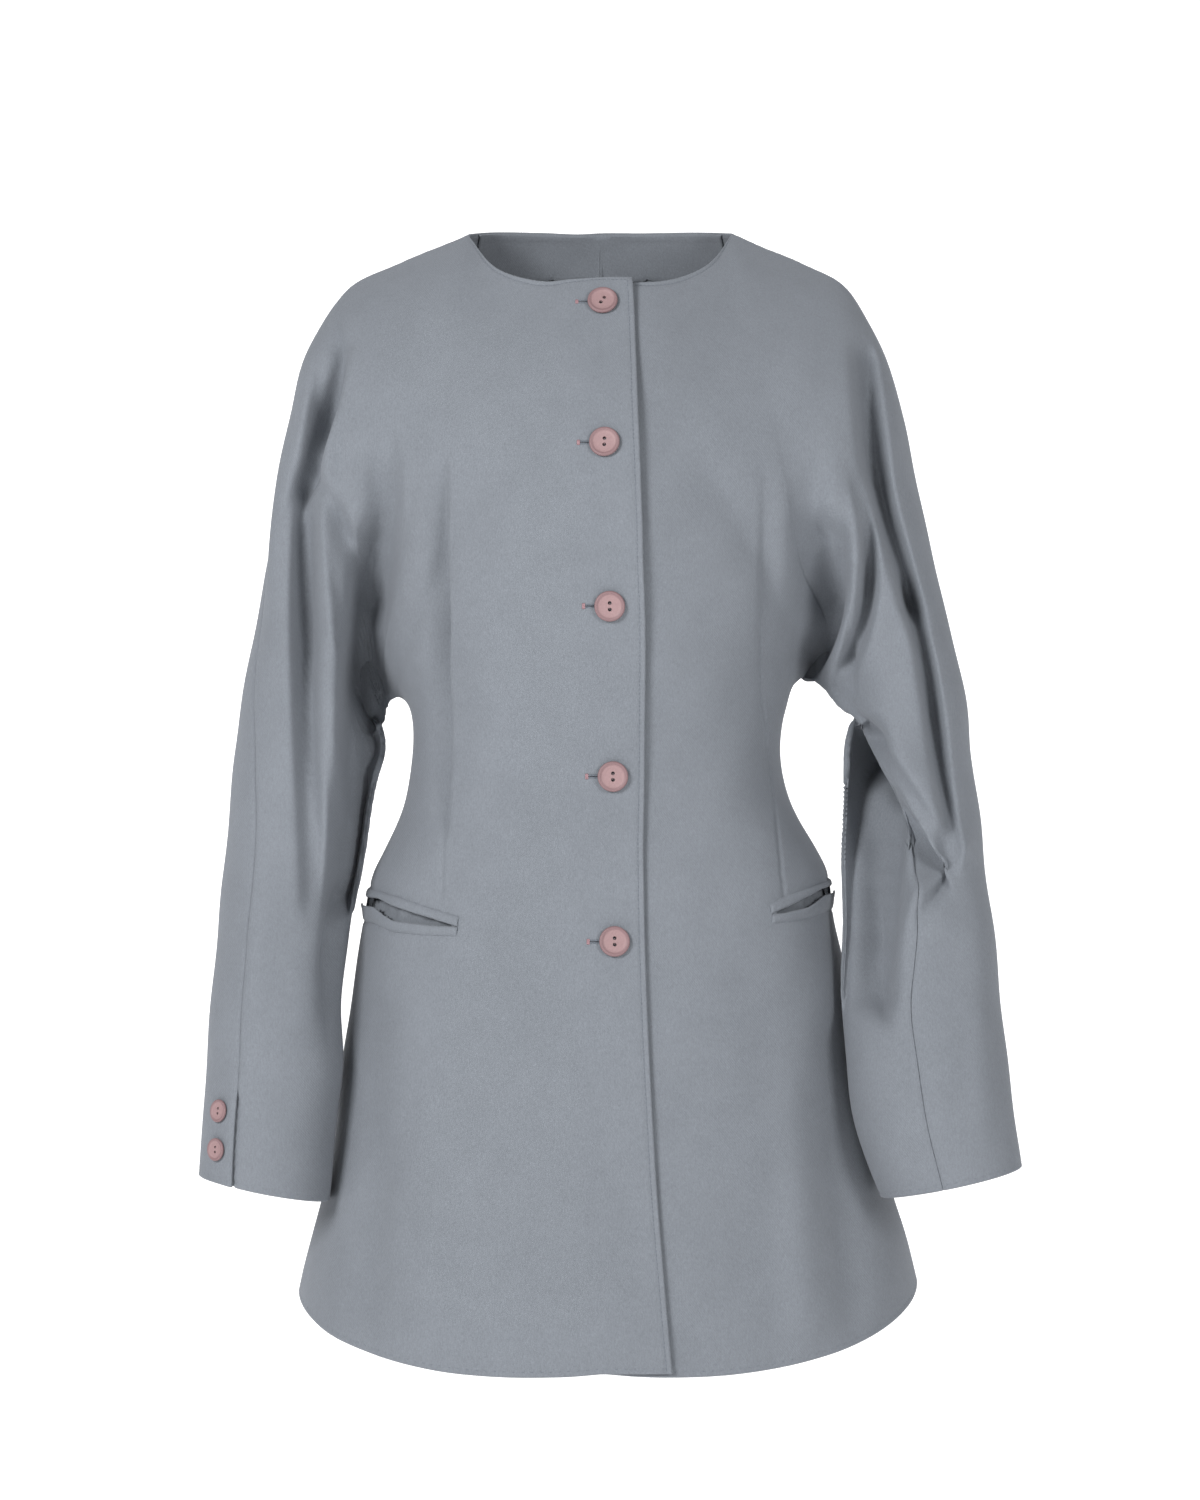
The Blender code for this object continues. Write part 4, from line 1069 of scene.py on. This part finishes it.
def build_button(name, centre, normal, size, tilt, materials):
    """A dished button with a rim and two bored sewing holes, and the thread between them."""
    radius, high = size
    across, up = cross_ways(normal, tilt)
    angles = np.linspace(0, 2 * math.pi, BUTTON_SIDES, endpoint=False)
    ways = np.cos(angles)[:, None] * across + np.sin(angles)[:, None] * up
    centre = centre + normal * BUTTON_GAP
    top = high * BUTTON_PROFILE[-1][1]
    rings = [centre + ways * radius * r + normal * high * h for r, h in BUTTON_PROFILE]
    points = np.concatenate(rings + [[centre], [centre + normal * top]])
    faces = ring_faces(0, BUTTON_SIDES, len(rings))
    last = (len(rings) - 1) * BUTTON_SIDES
    for k in range(BUTTON_SIDES):
        n = (k + 1) % BUTTON_SIDES
        faces += [[n, k, len(points) - 2], [last + k, last + n, len(points) - 1]]
    piece = add_mesh(name + "_look", points, faces, materials["button"])
    bores, hole_faces = [], []
    sides = len(ways[::BORE_STEP])
    for way in (-1, 1):
        middle = centre + up * way * HOLE_APART * radius / 2
        first = len(bores) * sides
        for h in (-1, high + 1):
            bores.append(middle + ways[::BORE_STEP] * HOLE_RADIUS * radius + normal * h)
        hole_faces += ring_faces(first, sides, 2)
        hole_faces.append(list(range(first + sides - 1, first - 1, -1)))
        hole_faces.append(list(range(first + sides, first + 2 * sides)))
    cutter = add_mesh(name + "_bores", np.concatenate(bores), hole_faces, materials["button"], smooth=False)
    drilled = drill(piece, cutter)
    spot = np.empty(len(drilled.vertices) * 3)
    drilled.vertices.foreach_get("co", spot)
    spot = spot.reshape(-1, 3) / MM - centre
    wide = np.linalg.norm(spot - (spot @ normal)[:, None] * normal, axis=1) / radius
    # The rim attribute is a mask of painted shade. It rises from the inside of the rim and is full over its
    # outer part.
    rim = drilled.attributes.new("rim", "FLOAT", "POINT")
    rim.data.foreach_set("value", np.clip((wide - RIM_SHADE_FROM) / (RIM_SHADE_FULL - RIM_SHADE_FROM), 0, 1).astype(np.float32))
    drilled.set_sharp_from_angle(angle=SHARP_ANGLE)
    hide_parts(name)
    middle = centre + normal * (top - THREAD_SINK)
    reach = up * HOLE_APART * radius / 2 * THREAD_PAST
    lines = [(middle - reach + across * s, middle + reach + across * s, normal) for s in BUTTON_THREADS]
    add_threads(name + "_look_thread", lines, BUTTON_THREAD_RADIUS, materials["button_thread"])


def add_threads(name, lines, radius, material, arch=THREAD_ARCH):
    """Short rounded stitches joined in one mesh; each line is a start, an end and the way up."""
    angles = np.linspace(0, 2 * math.pi, THREAD_SIDES, endpoint=False)
    rings = len(THREAD_PROFILE)
    points, faces = [], []
    for start, end, normal in lines:
        beside = np.cross(normal, unit(end - start))
        first = len(points)
        last = first + (rings - 1) * THREAD_SIDES
        for t, full in THREAD_PROFILE:
            middle = start + (end - start) * t + normal * radius * arch * math.sin(math.pi * t)
            points += [middle + full * radius * (beside * math.cos(a) + normal * math.sin(a)) for a in angles]
        faces += ring_faces(first, THREAD_SIDES, rings)
        faces.append(list(range(first + THREAD_SIDES - 1, first - 1, -1)))
        faces.append(list(range(last, last + THREAD_SIDES)))
    piece = add_mesh(name, np.array(points), faces, material)


def upright_stitch(tree, x, z, half, lift):
    """A stitch straight up and down on the cloth at x and z."""
    place, normal = seen_at(tree, x, z)
    up = np.array((0, 0, 1)) - normal * normal[2]
    return place - up * half + normal * lift, place + up * half + normal * lift, normal


def build_buttonhole(number, tree, centre, materials):
    """Satin stitches round the slit beside a front button, closed by a bar of coloured thread, with painted
    shade along the slit.
    """
    x, _, z = centre
    start = x - SLIT_END
    lines = []
    for way in (-1, 1):
        for k in range(HOLE_STITCHES):
            height = z + way * HOLE_STITCH_MIDDLE
            lines.append(upright_stitch(tree, start + k * HOLE_PITCH, height, HOLE_STITCH_HALF, HOLE_LIFT))
    bar = []
    for k in range(BAR_THREADS):
        bar.append(upright_stitch(tree, start - BAR_START - k * BAR_PITCH, z, BAR_HALF, BAR_LIFT))
    add_threads(f"buttonhole_{number}", lines, HOLE_THREAD_RADIUS, materials["thread"])
    add_threads(f"buttonhole_bar_{number}", bar, BAR_RADIUS, materials["bar"])
    # The slit is a near-black tube of painted shade, standing for the dark gap of the buttonhole.
    slit = [(seen_at(tree, start, z)[0], seen_at(tree, x - SLIT_HIDDEN, z)[0], bar[-1][2])]
    add_threads(f"buttonhole_slit_shade_{number}", slit, SLIT_RADIUS, materials["slit"], arch=SLIT_ARCH)


def edge_places(panel, rows):
    """Places along a panel's outer edge, one stitch inset from it."""
    line = []
    for row in rows:
        from_edge = panel.run[row, -1] - panel.run[row]
        line.append(place_in(panel, row, np.interp(-EDGE_STITCH, -from_edge, np.arange(len(from_edge)))))
    return line


def hem_places(panel, from_cuff):
    """Places along a panel's hem or cuff, one stitch inset from it."""
    line = []
    for column, fall in enumerate(panel.fall.T):
        row = np.interp(fall[-1] - HEM_STITCH if from_cuff else HEM_STITCH, fall, np.arange(len(fall)))
        line.append(place_in(panel, row, column))
    return line


def dashes(line, pitch, length):
    """Starts, ends and normals of stitches of one length, one for each pitch along a line of places."""
    places, normals = map(np.array, zip(*line))
    run = line_run(places)
    found = []
    for start in np.arange(pitch / 2, run[-1] - length, pitch):
        normal = unit(points_at(start, run, normals))
        ends = [points_at(at, run, places) + normal * STITCH_OUT for at in (start, start + length)]
        found.append((*ends, normal))
    return found


def build_stitching(panels, materials):
    """The top stitching of the front edges and the neck, and the fine stitches above the hem."""
    for name, panel in panels.items():
        edge = edge_places(panel, np.flatnonzero(free_outer(name)))
        add_threads(name + "_edge_stitching", dashes(edge, *EDGE_DASH), STITCH_RADIUS, materials["thread"])
        fine = dashes(hem_places(panel, False), *PRICK_DASH) + dashes(hem_places(panel, True), *PRICK_DASH)
        add_threads(name + "_hem_stitching", fine, STITCH_RADIUS, materials["thread"])


def fill(tree, made, inputs):
    """Inputs of a node get a value, or a link from another node's output."""
    for name, value in inputs.items():
        if isinstance(value, bpy.types.NodeSocket):
            tree.links.new(value, made.inputs[name])
        else:
            made.inputs[name].default_value = value


def node(tree, kind, **inputs):
    """A shader node; in the names of its inputs _ stands for a space."""
    made = tree.nodes.new("ShaderNode" + kind)
    fill(tree, made, {name.replace("_", " "): value for name, value in inputs.items()})
    return made


def blend(tree, first, second, share):
    """A share of the first value added to the rest of the second."""
    rest = tree.nodes.new("ShaderNodeMath")
    rest.operation = "MULTIPLY"
    fill(tree, rest, {0: second, 1: 1 - share})
    total = tree.nodes.new("ShaderNodeMath")
    total.operation = "MULTIPLY_ADD"
    fill(tree, total, {0: first, 1: share, 2: rest.outputs["Value"]})
    return total.outputs["Value"]


def two_tones(tree, value, colour, apart, low, high):
    """A ramp from a darker to a lighter tone of one colour as the value goes from low to high."""
    ramp = node(tree, "ValToRGB", Fac=value)
    for end, position, tone in zip(ramp.color_ramp.elements, (low, high), (1 - apart, 1 + apart)):
        end.position = position
        end.color = (*[min(1, c * tone) for c in colour], 1)
    return ramp.outputs["Color"]


def new_material(name):
    material = bpy.data.materials.new(name)
    material.use_nodes = True
    return material, material.node_tree, material.node_tree.nodes["Principled BSDF"]


def cloth_material(name, tone):
    """Soft felted wool: mottled fibres, a faint twill and a little sheen."""
    material, tree, shader = new_material(name)
    place = node(tree, "TexCoord").outputs["Object"]
    fibre = node(tree, "TexNoise", Vector=place, Scale=950, Detail=2.5, Roughness=0.6).outputs["Fac"]
    patch = node(tree, "TexNoise", Vector=place, Scale=48, Detail=4, Roughness=0.6).outputs["Fac"]
    cloud = node(tree, "TexNoise", Vector=place, Scale=9, Detail=2, Roughness=0.5).outputs["Fac"]
    stretch = node(tree, "Mapping", Vector=place, Scale=(1, 1, 0.3)).outputs["Vector"]
    streak = node(tree, "TexNoise", Vector=stretch, Scale=1100, Detail=1.5, Roughness=0.5).outputs["Fac"]
    turned = node(tree, "Mapping", Vector=place, Rotation=(0, TWILL_ANGLE, 0)).outputs["Vector"]
    twill = node(tree, "TexWave", Vector=turned, Scale=TWILL_SCALE, Distortion=2.5, Detail=1.5)
    fill(tree, twill, {"Detail Scale": 3})
    mixed = blend(tree, streak, fibre, share=0.45)
    colour = two_tones(tree, mixed, tone, HEATHER, low=0.28, high=0.74)
    mottle = node(tree, "MapRange", Value=blend(tree, patch, cloud, share=0.5), From_Min=0.3, From_Max=0.7)
    fill(tree, mottle, {"To Min": 0.94, "To Max": 1.06})
    shade = node(tree, "HueSaturation", Value=mottle.outputs["Result"], Color=colour)
    nap = node(tree, "Bump", Height=fibre, Strength=0.35, Distance=0.0004).outputs["Normal"]
    rows = node(tree, "Bump", Height=twill.outputs["Fac"], Normal=nap, Strength=0.18, Distance=0.0003)
    looks = {
        "Base Color": shade.outputs["Color"],
        "Normal": rows.outputs["Normal"],
        "Roughness": 0.92,
        "Specular IOR Level": 0.18,
        "Sheen Weight": 0.12,
        "Sheen Roughness": 0.55,
        "Sheen Tint": (0.85, 0.88, 0.95, 1),
    }
    fill(tree, shader, looks)
    return material


def plain_material(name, colour, roughness, grain=0, sheen=0):
    """One colour with a fine grain in its tone."""
    material, tree, shader = new_material(name)
    place = node(tree, "TexCoord").outputs["Object"]
    noise = node(tree, "TexNoise", Vector=place, Scale=700, Detail=3, Roughness=0.6)
    colour = two_tones(tree, noise.outputs["Fac"], colour, grain, low=0.3, high=0.7)
    looks = {"Base Color": colour, "Roughness": roughness, "Specular IOR Level": 0.3, "Sheen Weight": sheen}
    fill(tree, shader, looks)
    return material


def button_material(face, rim):
    """Matte moulded plastic, with painted shade on the raised rim: its colour is darker there."""
    material = plain_material("button_plastic", face, roughness=0.55, grain=0.05)
    tree = material.node_tree
    where = tree.nodes.new("ShaderNodeAttribute")
    where.attribute_name = "rim"
    mix = tree.nodes.new("ShaderNodeMix")
    mix.data_type = "RGBA"
    face_colour, rim_shade_colour = [socket for socket in mix.inputs if socket.type == "RGBA"]
    rim_shade_colour.default_value = (*rim, 1)
    tree.links.new(where.outputs["Fac"], mix.inputs["Factor"])
    tree.links.new(tree.nodes["Color Ramp"].outputs["Color"], face_colour)
    mixed = [socket for socket in mix.outputs if socket.type == "RGBA"][0]
    fill(tree, tree.nodes["Principled BSDF"], {"Base Color": mixed})
    return material


def build_stage():
    """A pale floor that curves up into a pale wall, soft light all round, two soft lamps and the camera."""
    profile = [(FLOOR_FRONT, FLOOR_Z), (SWEEP_FROM, FLOOR_Z)]
    for k in range(1, SWEEP_STEPS + 1):
        turn = math.pi / 2 * k / SWEEP_STEPS
        profile.append((SWEEP_FROM + SWEEP * math.sin(turn), FLOOR_Z + SWEEP * (1 - math.cos(turn))))
    profile.append((SWEEP_FROM + SWEEP, WALL_TOP))
    points = [(x, y, z) for y, z in profile for x in (-STAGE_HALF, STAGE_HALF)]
    faces = [[2 * k, 2 * k + 1, 2 * k + 3, 2 * k + 2] for k in range(len(profile) - 1)]
    mesh = bpy.data.meshes.new("floor")
    mesh.from_pydata(points, [], faces)
    mesh.polygons.foreach_set("use_smooth", [True] * len(faces))
    material, tree, shader = new_material("pale_paper")
    looks = {"Base Color": (*PAPER, 1), "Roughness": 1, "Specular IOR Level": 0}
    looks |= {"Emission Color": (1, 1, 1, 1), "Emission Strength": PAPER_GLOW}
    fill(tree, shader, looks)
    mesh.materials.append(material)
    add_object("floor", mesh)
    world = bpy.data.worlds.new("studio")
    bpy.context.scene.world = world
    world.use_nodes = True
    light = {"Color": (1, 1, 1, 1), "Strength": ROOM_LIGHT}
    fill(world.node_tree, world.node_tree.nodes["Background"], light)
    for name, place, size, power in LAMPS:
        data = bpy.data.lights.new(name, "AREA")
        data.shape = "RECTANGLE"
        data.size, data.size_y = size
        data.energy = power
        lamp = add_object(name, data)
        lamp.location = place
        lamp.rotation_mode = "QUATERNION"
        lamp.rotation_quaternion = (Vector(LAMP_AIM) - Vector(place)).to_track_quat("-Z", "Y")
    data = bpy.data.cameras.new("camera")
    data.lens = LENS
    data.sensor_width = 36
    camera = add_object("camera", data)
    camera.location = CAMERA
    camera.rotation_euler = (math.radians(90), 0, 0)
    bpy.context.scene.camera = camera
    bpy.context.scene.view_settings.view_transform = "Standard"


def build_garment(materials):
    """The cloth of the panels, with pocket mouths, welts, facings and underlaps."""
    panels = build_panels()
    pockets = {"right": RIGHT_POCKET, "left": LEFT_POCKET}
    for name, panel in panels.items():
        keep = None
        if panel.front:
            pocket = pockets[name.split("_")[0]]
            pocket_furrows(panel, pocket)
            keep = mouth_kept(panel, pocket)
        inner = panel.grid - CLOTH * panel.normals
        free = (1, 1, 0, free_outer(name))
        piece = shell(name + "_cloth", panel.grid, inner, materials["wool"], free, keep)
        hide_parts(name)
    for side, pocket in pockets.items():
        build_pocket(side, panels[side + "_front"], pocket, materials["wool"])
        build_underlap(side, panels[side + "_back"], materials["wool"])
    build_neck_facing(panels, materials["wool"])
    return panels


def build_trims(panels, materials):
    """Buttons, buttonholes and stitching, set on the cloth."""
    front = panels["right_front"].grid
    quads = grid_quads(*front.shape[:2]).reshape(-1, 4)
    tree = BVHTree.FromPolygons([Vector(p) for p in front.reshape(-1, 3)], quads.tolist())
    for number, (x, z) in enumerate(zip(BUTTON_X, BUTTON_Z), 1):
        centre, normal = seen_at(tree, x, z)
        tilt = FIRST_BUTTON_TILT if number == 1 else 0
        build_button(f"front_button_{number}", centre, normal, FRONT_BUTTON, tilt, materials)
        build_buttonhole(number, tree, centre, materials)
    for side in ("right", "left"):
        for number, mark in enumerate(CUFF_BUTTON_MARKS, 1):
            centre, normal = place_at(panels[side + "_back"], mark, CUFF_BUTTON_SHARE)
            name = f"{side}_cuff_button_{number}"
            build_button(name, centre, normal, CUFF_BUTTON, 0, materials)
    build_stitching(panels, materials)


def main():
    materials = {
        "wool": cloth_material("wool_flannel", WOOL),
        "thread": plain_material("wool_thread", THREAD, roughness=0.8, grain=0.1, sheen=0.2),
        "slit": plain_material("slit_shade", SLIT_SHADE, roughness=1),
        "bar": plain_material("bar_thread", BAR, roughness=0.7, grain=0.1),
        "button": button_material(BUTTON_FACE, BUTTON_RIM_SHADE),
        "button_thread": plain_material("button_thread", BUTTON_THREAD, roughness=0.8, grain=0.1),
    }
    panels = build_garment(materials)
    build_trims(panels, materials)
    build_stage()


main()
